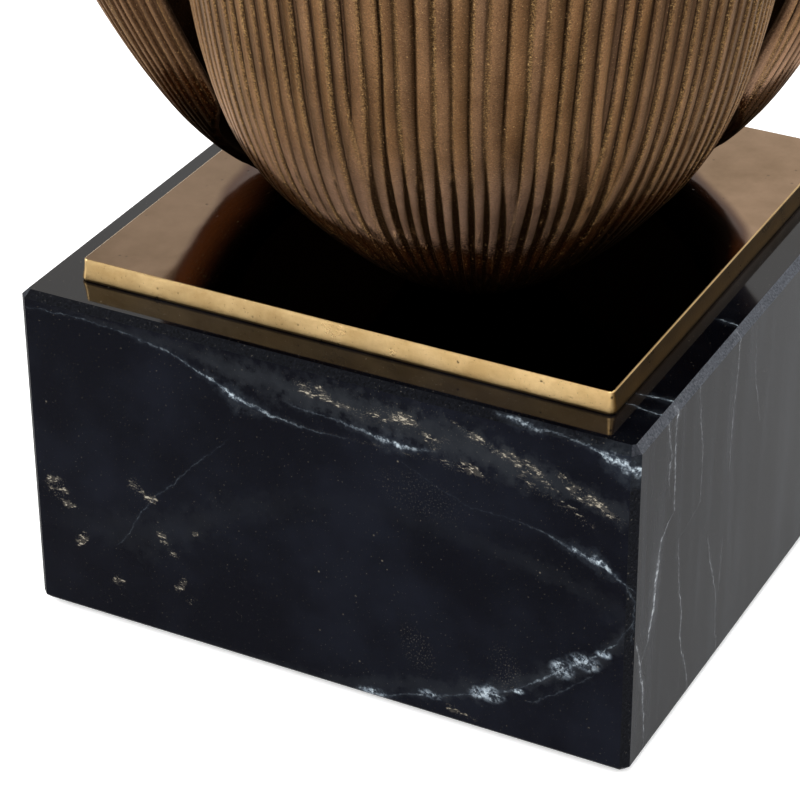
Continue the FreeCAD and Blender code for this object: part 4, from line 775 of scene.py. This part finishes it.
def slow_noise(rng, length, step, knots_span):
    """Smooth random values at positions 0..length, one row of knots every knots_span."""
    knots = int(math.ceil(length / knots_span)) + 4
    values = rng.normal(size=knots)

    def at(x):
        t = np.asarray(x, float) / knots_span + 1.0
        i = np.clip(t.astype(int), 1, knots - 3)
        f = t - i
        f = np.clip(f, 0.0, 1.0)
        a, b, c, d = values[i - 1], values[i], values[i + 1], values[i + 2]
        return b + 0.5 * f * (c - a + f * (2 * a - 5 * b + 4 * c - d + f * (3 * (b - c) + d - a)))

    return at


def flute_profile(t):
    """Section of one flute, t from -1 to 1 across it: a steep shoulder on one side and a long fall on the other."""
    return np.interp(t, [-1.0, -0.93, -0.82, -0.66, -0.42, -0.15, 0.25, 0.60, 0.82, 0.94, 1.0],
                     [0.0, 0.16, 0.55, 0.86, 0.985, 1.0, 0.95, 0.84, 0.54, 0.16, 0.0])


TURNOVER = -20.5


def flute_height(up, phi, seed):
    """Height 0..1 of the raised flutes, and where a point lies: in a groove, on a gritty shoulder, on a smooth flat.

    up in mm, phi in degrees. The flutes' steep sides face the middle of the petal. In the middle the flutes stand on
    ground dark with painted shade; towards the rims the ground is a smooth flat and only a thin line beside each flute
    is dark with painted shade. tone is painted light and shade across each flute.
    """
    rng = np.random.default_rng(seed)
    pitch = 3.23
    count = 53
    q_top = (np.arange(count) - (count - 1) / 2) * pitch + rng.uniform(-0.30, 0.30, count)
    middle = smoothstep((phi + 30.0) / 12.0) * smoothstep((24.0 - phi) / 16.0)
    left = smoothstep((-phi - 20.0) / 10.0)
    foot = smoothstep((78.0 - up) / 36.0)
    share_mid = 0.97 - 0.33 * smoothstep((76.0 - up) / 34.0)
    share_left = 0.66 + 0.20 * smoothstep((92.0 - up) / 36.0)
    share_right = np.full_like(up, 0.56)
    wide = middle * share_mid + (1 - middle) * (left * share_left + (1 - left) * share_right)
    # neighbours run together near the foot
    groups, k = [], 0
    while k < count:
        size = int(rng.choice([1, 2], p=[0.82, 0.18]))
        groups.append(list(range(k, min(k + size, count))))
        k += size
    weight = np.array([1.0 if len(group) == 1 else 1.22 for group in groups]) * rng.uniform(0.92, 1.08, len(groups))
    run = np.concatenate([[0.0], np.cumsum(weight)])
    q_foot = ((run[:-1] + run[1:]) / 2 / run[-1] - 0.5) * count * pitch
    q_foot = 0.55 * q_foot + 0.45 * np.array([q_top[group].mean() for group in groups])
    floor_wave = slow_noise(rng, 300.0, 1.0, 30.0)
    height = 0.10 + 0.05 * np.sin(phi * 1.9) * np.clip(floor_wave(up), -1, 1)
    line = np.zeros_like(up)
    shoulder = np.zeros_like(up)
    tint = np.zeros_like(up)
    tone = np.full_like(up, 0.35)
    for group, foot_at in zip(groups, q_foot):
        mean = q_top[group].mean()
        merge = rng.uniform(26.0, 52.0) if len(group) > 1 else 34.0
        for member in group:
            sway = slow_noise(rng, 300.0, 1.0, 34.0)
            size = slow_noise(rng, 300.0, 1.0, 26.0)
            tall = slow_noise(rng, 300.0, 1.0, 22.0)
            gloss = slow_noise(rng, 300.0, 1.0, 18.0)
            blend = smoothstep((up - merge) / 52.0)
            apart = smoothstep((up - merge) / 40.0)
            at = foot_at + (mean - foot_at) * blend + (q_top[member] - mean) * (0.10 + 0.90 * apart) + 0.08 * sway(up)
            half = pitch * wide * 0.5 / 0.86 * rng.uniform(0.90, 1.10) * (1.0 + 0.06 * size(up)) * (1.0 + (0.34 if len(group) > 1 else 0.06) * (1 - blend))
            side = 1.0 if q_top[member] > TURNOVER else -1.0
            t = side * (phi - at) / half
            crest = np.clip(0.92 + 0.08 * tall(up), 0.70, 1.0) * rng.uniform(0.86, 1.0)
            here = flute_profile(t) * crest
            # painted light across the flute: the steep flank lit, the long fall shaded
            painted_lit = np.interp(t, [-1.0, -0.78, -0.35, 0.10, 0.60, 1.0], [0.35, 0.95, 1.0, 0.62, 0.22, 0.0]) + 0.16 * tall(up) + rng.uniform(-0.12, 0.12)
            tone = np.where((here > height) & (here > 0.2), painted_lit, tone)
            height = np.maximum(height, here)
            bright = rng.uniform(0.35, 1.0) * np.clip(0.85 + 0.30 * gloss(up), 0.3, 1.15)
            step = np.clip(1.0 - np.abs(t + 0.74) / (0.34 + 0.16 * (1 - middle)), 0.0, 1.0) ** 0.8
            shoulder = np.maximum(shoulder, step * bright)
            body = np.exp(-(t / 0.75) ** 4)
            # a painted highlight: a thin bright crest beside the line in the middle
            tone = np.maximum(tone, middle * (1 - foot) * np.exp(-((t + 0.62) / 0.16) ** 2) * 1.0)
            tint = np.maximum(tint, body * rng.uniform(0.0, 0.35))
            reach = (1.08 + 0.10 * (1 - middle))
            line = np.maximum(line, np.exp(-((t + reach) / (0.13 + 0.01 * left)) ** 2) * rng.uniform(0.80, 1.0))
            line = np.maximum(line, 0.40 * np.exp(-((t - 1.02) / 0.13) ** 2))
    bar = smoothstep((height - 0.30) / 0.34)
    ground = 1.0 - bar
    groove = np.maximum(line * (1 - 0.75 * bar), ground * (middle * (0.25 + 0.75 * foot) + (1 - middle) * (0.08 + 0.40 * foot * (1 - left))))
    groove = np.maximum(groove, line * 0.35)
    # smooth flats: the ground towards the rims, and the tops of the flutes near the foot
    flat = np.maximum(ground * (1 - middle) * 0.95, tint)
    flat = np.maximum(flat, bar * foot * (middle * 0.95 + left * 0.85))
    flat = flat * (1 - 0.8 * shoulder * (1 - 0.75 * middle * foot))
    shoulder = shoulder * (1 - 0.55 * middle * foot)
    # gritty flanks beside the smooth tops near the foot
    flank = np.exp(-((height - 0.30) / 0.22) ** 2) * middle * foot
    shoulder = np.maximum(shoulder, 0.42 * flank)
    # casting lumps near the foot
    for number in range(96):
        if number < 60:
            u0, p0 = rng.uniform(4.0, 70.0), rng.uniform(-60.0, 60.0)
            su, sp, tall = rng.uniform(0.6, 1.5), rng.uniform(0.25, 0.55), rng.uniform(0.10, 0.28)
        else:
            u0, p0 = rng.uniform(27.0, 38.0), rng.uniform(-42.0, -14.0)
            su, sp, tall = rng.uniform(0.5, 1.1), rng.uniform(0.25, 0.55), rng.uniform(0.20, 0.45)
        lump = np.exp(-((up - u0) / su) ** 2 - ((phi - p0) / sp) ** 2)
        height = np.minimum(height + tall * lump, 1.15)
        shoulder = np.maximum(shoulder, lump * 0.9 * tall / 0.5)
        groove = np.maximum(groove * (1 - lump), 0.6 * np.exp(-((up - u0 + 2.2 * su) / su) ** 2 - ((phi - p0) / sp) ** 2))
    # shallow bands at the left and in the upper middle
    height = 1.0 - (1.0 - height) * (1.0 - left * (0.36 + 0.14 * smoothstep((92.0 - up) / 36.0)) - 0.36 * middle * (1 - left) * (1 - foot) - 0.12 * (1 - middle) * (1 - left))
    # painted shade on the flutes towards the right side, painted light low on the left and a little shade above it
    tone = tone - 0.28 * smoothstep((phi - 22.0) / 14.0) + left * (0.26 * smoothstep((70.0 - up) / 30.0) - 0.10)
    return height, np.clip(groove, 0, 1), np.clip(shoulder, 0, 1), np.clip(flat, 0, 1), np.clip(tone, 0, 1)


def petal_rows():
    return np.concatenate([np.arange(0.0, 20.0, 2.0), np.arange(20.0, 46.0, 1.15), np.arange(46.0, 124.0, 2.5), np.linspace(125.5, 290.95, 27)])


def zip_rows(row_a, row_b, keys_a, keys_b):
    """Triangles between two rows of point indices ordered by their keys."""
    faces = []
    i = j = 0
    while i < len(row_a) - 1 or j < len(row_b) - 1:
        if j == len(row_b) - 1 or (i < len(row_a) - 1 and keys_a[i + 1] <= keys_b[j + 1]):
            faces.append((row_a[i], row_a[i + 1], row_b[j]))
            i += 1
        else:
            faces.append((row_a[i], row_b[j + 1], row_b[j]))
            j += 1
    return faces


def make_petal(node, number, seed):
    rows = petal_rows()
    across = np.linspace(-84.5, 84.5, 985)
    span = SPAN(rows)
    phi = np.clip(across[None, :], -span[:, None], span[:, None])
    up = np.broadcast_to(rows[:, None], phi.shape).copy()
    share = phi / span[:, None]
    base = petal_surface(up, share)
    normal = petal_normal(up, share)
    ridge, groove, shoulder, flat, tone = flute_height(up, phi, seed)
    # more painted shade on the right-hand flutes of the front petal
    if number == 0:
        tone = np.clip(tone - 0.22 * smoothstep((phi - 22.0) / 14.0), 0, 1)
    rng = np.random.default_rng(seed + 77)
    waves = [(rng.uniform(30, 80), rng.uniform(10, 34), rng.uniform(0, TAU), rng.uniform(0, TAU)) for _ in range(6)]
    sag = sum(np.sin(up / a * TAU + c) * np.sin(phi / b * TAU + d) for a, b, c, d in waves) / 6
    sag = 0.14 * (1 + np.clip(sag, -1, 1))
    # the flutes fade out on the last millimetre before the rim, which is dressed round
    arc = np.linalg.norm(np.diff(base, axis=1), axis=-1)
    from_left = np.concatenate([np.zeros((len(rows), 1)), np.cumsum(arc, axis=1)], axis=1)
    from_rim = np.minimum(from_left, from_left[:, -1:] - from_left)
    depth = 1.15 * (1.15 - ridge) / 1.15 + sag
    round_off = np.clip(1 - from_rim / 0.9, 0, 1)
    depth = depth + 0.5 * round_off ** 2
    outer = base - normal * depth[..., None]
    outer[0, :, 2] = 0.0
    rim_tone = smoothstep(1 - from_rim / 1.3)
    groove = groove * (1 - rim_tone)

    # inner face, closed on the plate's plane
    cols_in = np.linspace(-1.0, 1.0, 49)
    probe = np.linspace(-5.0, 12.0, 400)
    pu, ps = np.meshgrid(probe, cols_in, indexing="ij")
    pz = (petal_surface(pu, ps) - petal_normal(pu, ps) * PETAL_WALL)[..., 2]
    start = np.array([np.interp(0.0, pz[:, k], probe) for k in range(len(cols_in))])
    fraction = rows / rows[-1]
    iu = start[None, :] + (290.95 - start[None, :]) * fraction[:, None]
    isx = np.broadcast_to(cols_in, iu.shape)
    i_normal = petal_normal(iu, isx)
    i_phi = SPAN(np.maximum(iu, 0)) * isx
    dent = 0.10 * np.sin(iu / 23.0 * TAU + 1.0) * np.sin(i_phi / 15.0 * TAU)
    inner = petal_surface(iu, isx) - i_normal * (PETAL_WALL + dent)[..., None]
    inner[0, :, 2] = 0.0

    points = [outer.reshape(-1, 3), inner.reshape(-1, 3)]
    n_out, n_in = len(across), len(cols_in)
    count_rows = len(rows)
    out_id = np.arange(count_rows * n_out).reshape(count_rows, n_out)
    # columns past the rim share the rim's point
    first = (across[None, :] < -span[:, None]).sum(axis=1)
    last = n_out - 1 - (across[None, :] > span[:, None]).sum(axis=1)
    for i in range(count_rows):
        a, b = max(first[i] - 1, 0), min(last[i] + 1, n_out - 1)
        out_id[i, :a] = out_id[i, a]
        out_id[i, b + 1:] = out_id[i, b]
    in_id = np.arange(count_rows * n_in).reshape(count_rows, n_in) + count_rows * n_out
    total = count_rows * (n_out + n_in)
    faces = []

    def quads(ids, flip):
        a, b, c, d = ids[:-1, :-1], ids[:-1, 1:], ids[1:, 1:], ids[1:, :-1]
        order = (a, d, c, b) if flip else (a, b, c, d)
        for quad in np.stack([o.ravel() for o in order], axis=1).tolist():
            kept = [v for k, v in enumerate(quad) if v != quad[k - 1]]
            if len(kept) >= 3:
                faces.append(tuple(kept))

    quads(out_id, False)
    quads(in_id, True)
    # rounded rims
    extra = []
    for side, column in ((-1, 0), (1, -1)):
        edge_out = outer[:, column]
        edge_in = inner[:, column]
        tangent = petal_surface(rows, np.full(count_rows, side * 1.0)) - petal_surface(rows, np.full(count_rows, side * 0.985))
        tangent /= np.linalg.norm(tangent, axis=-1, keepdims=True)
        strips = [out_id[:, column]]
        for f, bulge in ((0.18, 0.50), (0.42, 0.82), (0.68, 0.78), (0.88, 0.42)):
            ring = edge_out + (edge_in - edge_out) * f + tangent * bulge
            ring[0, 2] = 0.0
            extra.append(ring)
            strips.append(np.arange(count_rows) + total)
            total += count_rows
        strips.append(in_id[:, column])
        ids = np.stack(strips, axis=1)
        quads(ids, side < 0)
        # close the rim's ends
        low = [int(i) for i in ids[0]]
        high = [int(i) for i in ids[-1]]
        faces.append(tuple(low if side > 0 else low[::-1]))
        faces.append(tuple(high[::-1] if side > 0 else high))
    points.extend(extra)
    # foot and top edges
    def edge_row(i):
        a, b = max(first[i] - 1, 0), min(last[i] + 1, n_out - 1)
        return out_id[i, a:b + 1].tolist(), share[i, a:b + 1]

    low_ids, low_keys = edge_row(0)
    high_ids, high_keys = edge_row(-1)
    low_faces = zip_rows(low_ids, in_id[0].tolist(), low_keys, cols_in)
    high_faces = zip_rows(high_ids, in_id[-1].tolist(), high_keys, cols_in)
    faces.extend([f[::-1] for f in low_faces])
    faces.extend(high_faces)
    every = np.concatenate(points)
    spare = sum(len(e) for e in extra)
    ridge_all = np.concatenate([ridge.ravel(), np.full(in_id.size, 0.25), np.full(spare, 0.6)])
    groove_all = np.concatenate([groove.ravel(), np.full(in_id.size, 0.35), np.full(spare, 0.25)])
    shoulder_all = np.concatenate([shoulder.ravel(), np.zeros(in_id.size + spare)])
    flat_all = np.concatenate([flat.ravel(), np.full(in_id.size, 0.3), np.full(spare, 0.5)])
    painted_light_all = np.concatenate([tone.ravel(), np.full(in_id.size, 0.3), np.full(spare, 0.6)])
    # the painted black shade of the foot climbs higher towards the rims, and starts higher on the inner face
    shift = 16.0 * smoothstep((-phi - 36.0) / 28.0) + 12.0 * smoothstep((phi - 12.0) / 26.0) + 10.0 * smoothstep((phi - 58.0) / 14.0)
    up_all = every[:, 2].copy()
    up_all[:count_rows * n_out] -= shift.ravel()
    up_all[count_rows * n_out:] -= 6.0

    # floor of the cup, cut round the centre, with its screw hole
    outline = []
    edge = petal_surface(np.zeros(33), np.linspace(-1, 1, 33)) - petal_normal(np.zeros(33), np.linspace(-1, 1, 33)) * 1.6
    outline += [(p[0], p[1]) for p in edge]
    limit = math.radians(56.0)
    outline += [(11.0 * math.cos(a), 11.0 * math.sin(a)) for a in np.linspace(limit, -limit, 13)]
    hole = [(19.0 + 2.75 * math.cos(a), 2.75 * math.sin(a)) for a in np.linspace(0, TAU, 25)[:-1]]
    foot_points, foot_faces = slab([outline, hole], 0.0, 4.0)
    start_index = len(every)
    every = np.concatenate([every, foot_points])
    faces.extend([tuple(i + start_index for i in f) for f in foot_faces])
    ridge_all = np.concatenate([ridge_all, np.full(len(foot_points), 0.3)])
    up_all = np.concatenate([up_all, foot_points[:, 2] + 8.0])
    flat_all = np.concatenate([flat_all, np.full(len(foot_points), 0.3)])
    painted_light_all = np.concatenate([painted_light_all, np.full(len(foot_points), 0.3)])
    groove_all = np.concatenate([groove_all, np.full(len(foot_points), 0.3)])
    shoulder_all = np.concatenate([shoulder_all, np.zeros(len(foot_points))])

    turn = math.radians(PETAL_TURN - 90.0 + 120.0 * number)
    c, s = math.cos(turn), math.sin(turn)
    world = np.stack([every[:, 0] * c - every[:, 1] * s, every[:, 0] * s + every[:, 1] * c, every[:, 2] + PLATE_TOP], axis=1) * MM
    used = np.unique(np.concatenate([np.array(f) for f in faces]))
    renumber = np.full(len(world), -1)
    renumber[used] = np.arange(len(used))
    faces = [tuple(int(renumber[i]) for i in f) for f in faces]
    attributes = {"ridge": ridge_all[used], "flat": flat_all[used], "tone": painted_light_all[used], "up": up_all[used] / 291.0, "groove": groove_all[used], "shoulder": shoulder_all[used]}
    return mesh_piece(node + "_casting", world[used], faces, node, attributes=attributes, sharp_deg=70)


def slab(loops, low, high):
    """A flat plate from closed outlines in mm, the first one outside and the rest holes."""
    curve = bpy.data.curves.new("outline", "CURVE")
    curve.dimensions = "2D"
    curve.fill_mode = "BOTH"
    curve.extrude = (high - low) / 2
    for loop in loops:
        spline = curve.splines.new("POLY")
        spline.points.add(len(loop) - 1)
        for point, (x, y) in zip(spline.points, loop):
            point.co = (x, y, 0.0, 1.0)
        spline.use_cyclic_u = True
    holder = bpy.data.objects.new("outline", curve)
    mesh = bpy.data.meshes.new_from_object(holder)
    points = np.array([v.co for v in mesh.vertices], float).reshape(-1, 3)
    points[:, 2] += (high + low) / 2
    faces = [tuple(p.vertices) for p in mesh.polygons]
    bpy.data.objects.remove(holder)
    bpy.data.curves.remove(curve)
    bpy.data.meshes.remove(mesh)
    # join the points that the fill and the sides share
    keys, remap, kept = {}, [], []
    for p in points:
        key = tuple(np.round(p, 4))
        if key not in keys:
            keys[key] = len(kept)
            kept.append(p)
        remap.append(keys[key])
    joined = []
    for f in faces:
        g = []
        for i in (remap[i] for i in f):
            if not g or g[-1] != i:
                g.append(i)
        if len(g) > 1 and g[0] == g[-1]:
            g.pop()
        if len(set(g)) >= 3:
            joined.append(tuple(g))
    return np.array(kept), joined


for number, (node, seed) in enumerate((("petal_front", 11), ("petal_right", 11), ("petal_left", 11))):
    make_petal(node, number, seed)

# ---------------------------------------------------------------- the plate
def make_crowned_plate():
    """The plate's own shape with its edge dressed by hand: full near its foot and drawn in above."""
    mesh = NODES["brass_plate"].data.copy()
    mesh.name = "brass_plate_crowned"
    work = bmesh.new()
    work.from_mesh(mesh)
    for level in (0.7, 1.0, 1.5, 2.0, 2.5, 3.0, 3.5, 4.0, 4.5, 5.0, 5.4, 5.7, 5.9, 6.1, 6.3):
        bmesh.ops.bisect_plane(work, geom=work.verts[:] + work.edges[:] + work.faces[:], plane_co=(0, 0, (100.0 + level) * MM), plane_no=(0, 0, 1), dist=1e-7)
    half, corner = 78.0, 2.2
    heights = [0.0, 0.25, 0.7, 1.5, 2.0, 2.5, 3.0, 3.5, 4.0, 4.5, 5.0, 5.4, 5.7, 5.9, 6.1, 6.3, 6.4]
    insets = [0.50, 0.18, 0.0, 0.15, 0.26, 0.36, 0.45, 0.525, 0.595, 0.655, 0.705, 0.74, 0.765, 0.785, 0.83, 0.97, 1.18]
    for v in work.verts:
        x, y, z = v.co.x / MM, v.co.y / MM, v.co.z / MM - 100.0
        if max(abs(x), abs(y)) < half - 1.2:
            continue
        ax, ay = abs(x) - (half - corner), abs(y) - (half - corner)
        if ax > 0 and ay > 0:
            reach = math.hypot(ax, ay)
            nx, ny, inset = math.copysign(ax / reach, x), math.copysign(ay / reach, y), corner - reach
        elif ax > ay:
            nx, ny, inset = math.copysign(1.0, x), 0.0, corner - ax
        else:
            nx, ny, inset = 0.0, math.copysign(1.0, y), corner - ay
        move = inset - float(np.interp(z, heights, insets))
        v.co.x += nx * move * MM
        v.co.y += ny * move * MM
    work.to_mesh(mesh)
    work.free()
    mesh.polygons.foreach_set("use_smooth", [True] * len(mesh.polygons))
    mesh.materials.clear()
    mesh.materials.append(MATERIALS["satin_brass"])
    mesh.update()
    mesh.set_sharp_from_angle(angle=math.radians(24))
    piece = bpy.data.objects.new("brass_plate_crowned", mesh)
    bpy.context.scene.collection.objects.link(piece)
    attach(piece, body_of("brass_plate"))
    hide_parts("brass_plate")
    return piece


make_crowned_plate()

# ---------------------------------------------------------------- the block
def make_block():
    """The block's own shape, with the front and right faces (and their bevels) and the top as areas of their own; the
    front and right faces carry their own painted light and shade.
    """
    source = NODES["marble_base"].data
    mesh = source.copy()
    mesh.name = "marble_block"
    mesh.materials.clear()
    for kind in ("front", "right", "rest", "top"):
        mesh.materials.append(MATERIALS["black_marble"] if kind == "rest" else make_marble(kind))
    for face in mesh.polygons:
        n, c = face.normal, face.center
        if c.y < -0.0878 and n.y < -0.5:
            face.material_index = 0
        elif c.x > 0.0878 and n.x > 0.5:
            face.material_index = 1
        else:
            face.material_index = 3 if n.z > 0.9 and c.z > 0.099 else 2
    piece = bpy.data.objects.new("marble_block", mesh)
    bpy.context.scene.collection.objects.link(piece)
    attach(piece, body_of("marble_base"))
    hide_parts("marble_base")
    return piece


make_block()

# ---------------------------------------------------------------- the switch knob
def make_knob():
    """Turned knob with 24 flutes on its rim. Its axis runs along -Y."""
    steps = [(1.7, 0.0, 0), (5.2, 0.0, 0), (5.4, 0.1, 0), (6.0, 0.6, 0), (6.0, 2.4, 0), (6.7, 3.0, 0), (7.0, 3.3, 1), (7.0, 5.0, 1), (7.0, 8.0, 1), (7.0, 11.0, 1), (7.0, 12.3, 1),
             (6.75, 12.9, 0), (6.2, 13.5, 0), (5.5, 13.85, 0), (4.8, 13.9, 0), (4.2, 13.6, 0), (1.5, 13.5, 0), (0.0, 13.5, 0)]
    around = 192
    points, faces = [], []
    for r, along, fluted in steps:
        for k in range(around):
            a = TAU * k / around
            depth = 0.45 * max(0.0, math.cos(24 * a)) ** 1.5 if fluted else 0.0
            points.append(((r - depth) * math.cos(a) * MM, (-22.0 - along) * MM, (478.0 + (r - depth) * math.sin(a)) * MM))
    for i in range(len(steps) - 1):
        for k in range(around):
            j = (k + 1) % around
            faces.append((i * around + k, (i + 1) * around + k, (i + 1) * around + j, i * around + j))
    return mesh_piece("switch_knob_fluted", points, faces, "switch_knob", sharp_deg=38)


make_knob()


# ---------------------------------------------------------------- the shade's cloth
def make_cloth():
    """One band of linen round the card, its ends lapped 12 mm at the back."""
    around, rows = 480, 28
    rng = np.random.default_rng(5)
    waves = [(rng.integers(3, 17), rng.uniform(0.5, 2.5), rng.uniform(0, TAU), rng.uniform(0, TAU)) for _ in range(8)]
    points = []
    angles = np.linspace(0, TAU, around, endpoint=False)
    lap = math.pi / 2
    for side in (0, 1):
        for i in range(rows + 1):
            f = i / rows
            radius = 228.0 - 12.0 * f
            z = 442.0 + 270.0 * f
            for a in angles:
                if side == 0:
                    swing = sum(math.sin(n * a + c) * math.sin(m * f * math.pi + d) for n, m, c, d in waves) / 8
                    free = math.sin(f * math.pi)
                    off = -0.10 * (1 + swing) * free
                    along = (a - lap) * radius
                    fold = max(0.0, min(1.0, (7.0 - abs(along)) / 1.6))
                    off += 0.34 * fold * fold * (3 - 2 * fold)
                    r = radius + off
                else:
                    r = radius - 0.8
                points.append((r * math.cos(a) * MM, r * math.sin(a) * MM, z * MM))
    faces = []
    shift = (rows + 1) * around
    for i in range(rows):
        for k in range(around):
            j = (k + 1) % around
            faces.append((i * around + k, i * around + j, (i + 1) * around + j, (i + 1) * around + k))
            faces.append((shift + i * around + k, shift + (i + 1) * around + k, shift + (i + 1) * around + j, shift + i * around + j))
    for k in range(around):
        j = (k + 1) % around
        faces.append((k, shift + k, shift + j, j))
        faces.append((rows * around + k, rows * around + j, shift + rows * around + j, shift + rows * around + k))
    return mesh_piece("shade_cloth_band", points, faces, "shade_cloth", sharp_deg=50)


cloth = make_cloth()

# ---------------------------------------------------------------- CAD nodes that keep their shape
for name, node_object in NODES.items():
    if node_object.hide_render:
        continue
    slot = slot_of(name)
    if slot is None:
        continue
    data = node_object.data
    if not data.materials:
        data.materials.append(MATERIALS[slot])
    for index in range(len(data.materials)):
        data.materials[index] = MATERIALS[slot]

# ---------------------------------------------------------------- floor, light, camera
floor_mesh = bpy.data.meshes.new("floor")
floor_mesh.from_pydata([(-6, -6, 0), (6, -6, 0), (6, 6, 0), (-6, 6, 0)], [], [(0, 1, 2, 3)])
floor = bpy.data.objects.new("floor", floor_mesh)
bpy.context.scene.collection.objects.link(floor)
floor_look = Graph("floor_paper", Roughness=0.9, Specular_IOR_Level=0.1, Emission_Color=(1.0, 1.0, 1.0, 1.0), Emission_Strength=0.42)
floor_look.set("Base Color", floor_look.mix(floor_look.noise(floor_look.place, 3.0, 2.0, 0.5), (0.83, 0.83, 0.83), (0.86, 0.86, 0.86)))
floor_mesh.materials.append(floor_look.mat)

world = bpy.data.worlds.new("studio")
bpy.context.scene.world = world
world.use_nodes = True
sky = world.node_tree
background = sky.nodes["Background"]
# a white backdrop behind the lamp and a darker room in front of it
direction = sky.nodes.new("ShaderNodeTexCoord").outputs["Generated"]
facing = sky.nodes.new("ShaderNodeVectorMath")
facing.operation = "DOT_PRODUCT"
sky.links.new(direction, facing.inputs[0])
facing.inputs[1].default_value = (-0.30, 0.95, 0.10)
blend = sky.nodes.new("ShaderNodeMapRange")
blend.interpolation_type = "SMOOTHSTEP"
sky.links.new(facing.outputs["Value"], blend.inputs[0])
for index, value in enumerate((-0.85, 0.55, 0.30, 0.88)):
    blend.inputs[index + 1].default_value = value
sky.links.new(blend.outputs[0], background.inputs[1])
background.inputs[0].default_value = (1.0, 1.0, 1.0, 1.0)


def area_light(name, place, aim, size, power, color=(1, 1, 1)):
    light = bpy.data.lights.new(name, "AREA")
    light.shape = "RECTANGLE"
    light.size, light.size_y = size
    light.energy = power
    light.color = color
    holder = bpy.data.objects.new(name, light)
    holder.location = place
    back = (Vector(place) - Vector(aim)).normalized()
    holder.rotation_euler = back.to_track_quat("Z", "Y").to_euler()
    bpy.context.scene.collection.objects.link(holder)
    return holder


AIM = (0.0, 0.0, 0.2)
area_light("key", (-1.55, -0.75, 1.0), AIM, (0.8, 1.1), 26.0)
area_light("fill", (1.5, -0.5, 1.3), (0.1, 0.0, 0.0), (0.8, 1.0), 8.0)
area_light("floor_wash", (0.5, -1.9, 1.9), (0.0, -0.5, 0.0), (1.2, 0.8), 30.0)
area_light("rear", (0.3, 1.5, 2.3), (0.1, 0.2, 0.0), (1.2, 0.8), 30.0)

azimuth, elevation, roll = math.radians(27.615), math.radians(30.878), math.radians(-0.350)
back = Vector((math.sin(azimuth) * math.cos(elevation), -math.cos(azimuth) * math.cos(elevation), math.sin(elevation)))
right = (-back).cross(Vector((0, 0, 1))).normalized()
upward = right.cross(-back)
right_rolled = right * math.cos(roll) + upward * math.sin(roll)
up_rolled = upward * math.cos(roll) - right * math.sin(roll)
camera_data = bpy.data.cameras.new("camera")
camera_data.sensor_width = 36.0
camera_data.lens = 140.13
camera_data.clip_start = 0.02
camera_data.clip_end = 60.0
camera = bpy.data.objects.new("camera", camera_data)
rotation = Matrix((right_rolled, up_rolled, back)).transposed().to_4x4()
camera.matrix_world = Matrix.Translation((0.33619, -0.68575, 0.49894)) @ rotation
bpy.context.scene.collection.objects.link(camera)
bpy.context.scene.camera = camera
bpy.context.scene.view_settings.view_transform = "Standard"

bpy.context.view_layer.update()
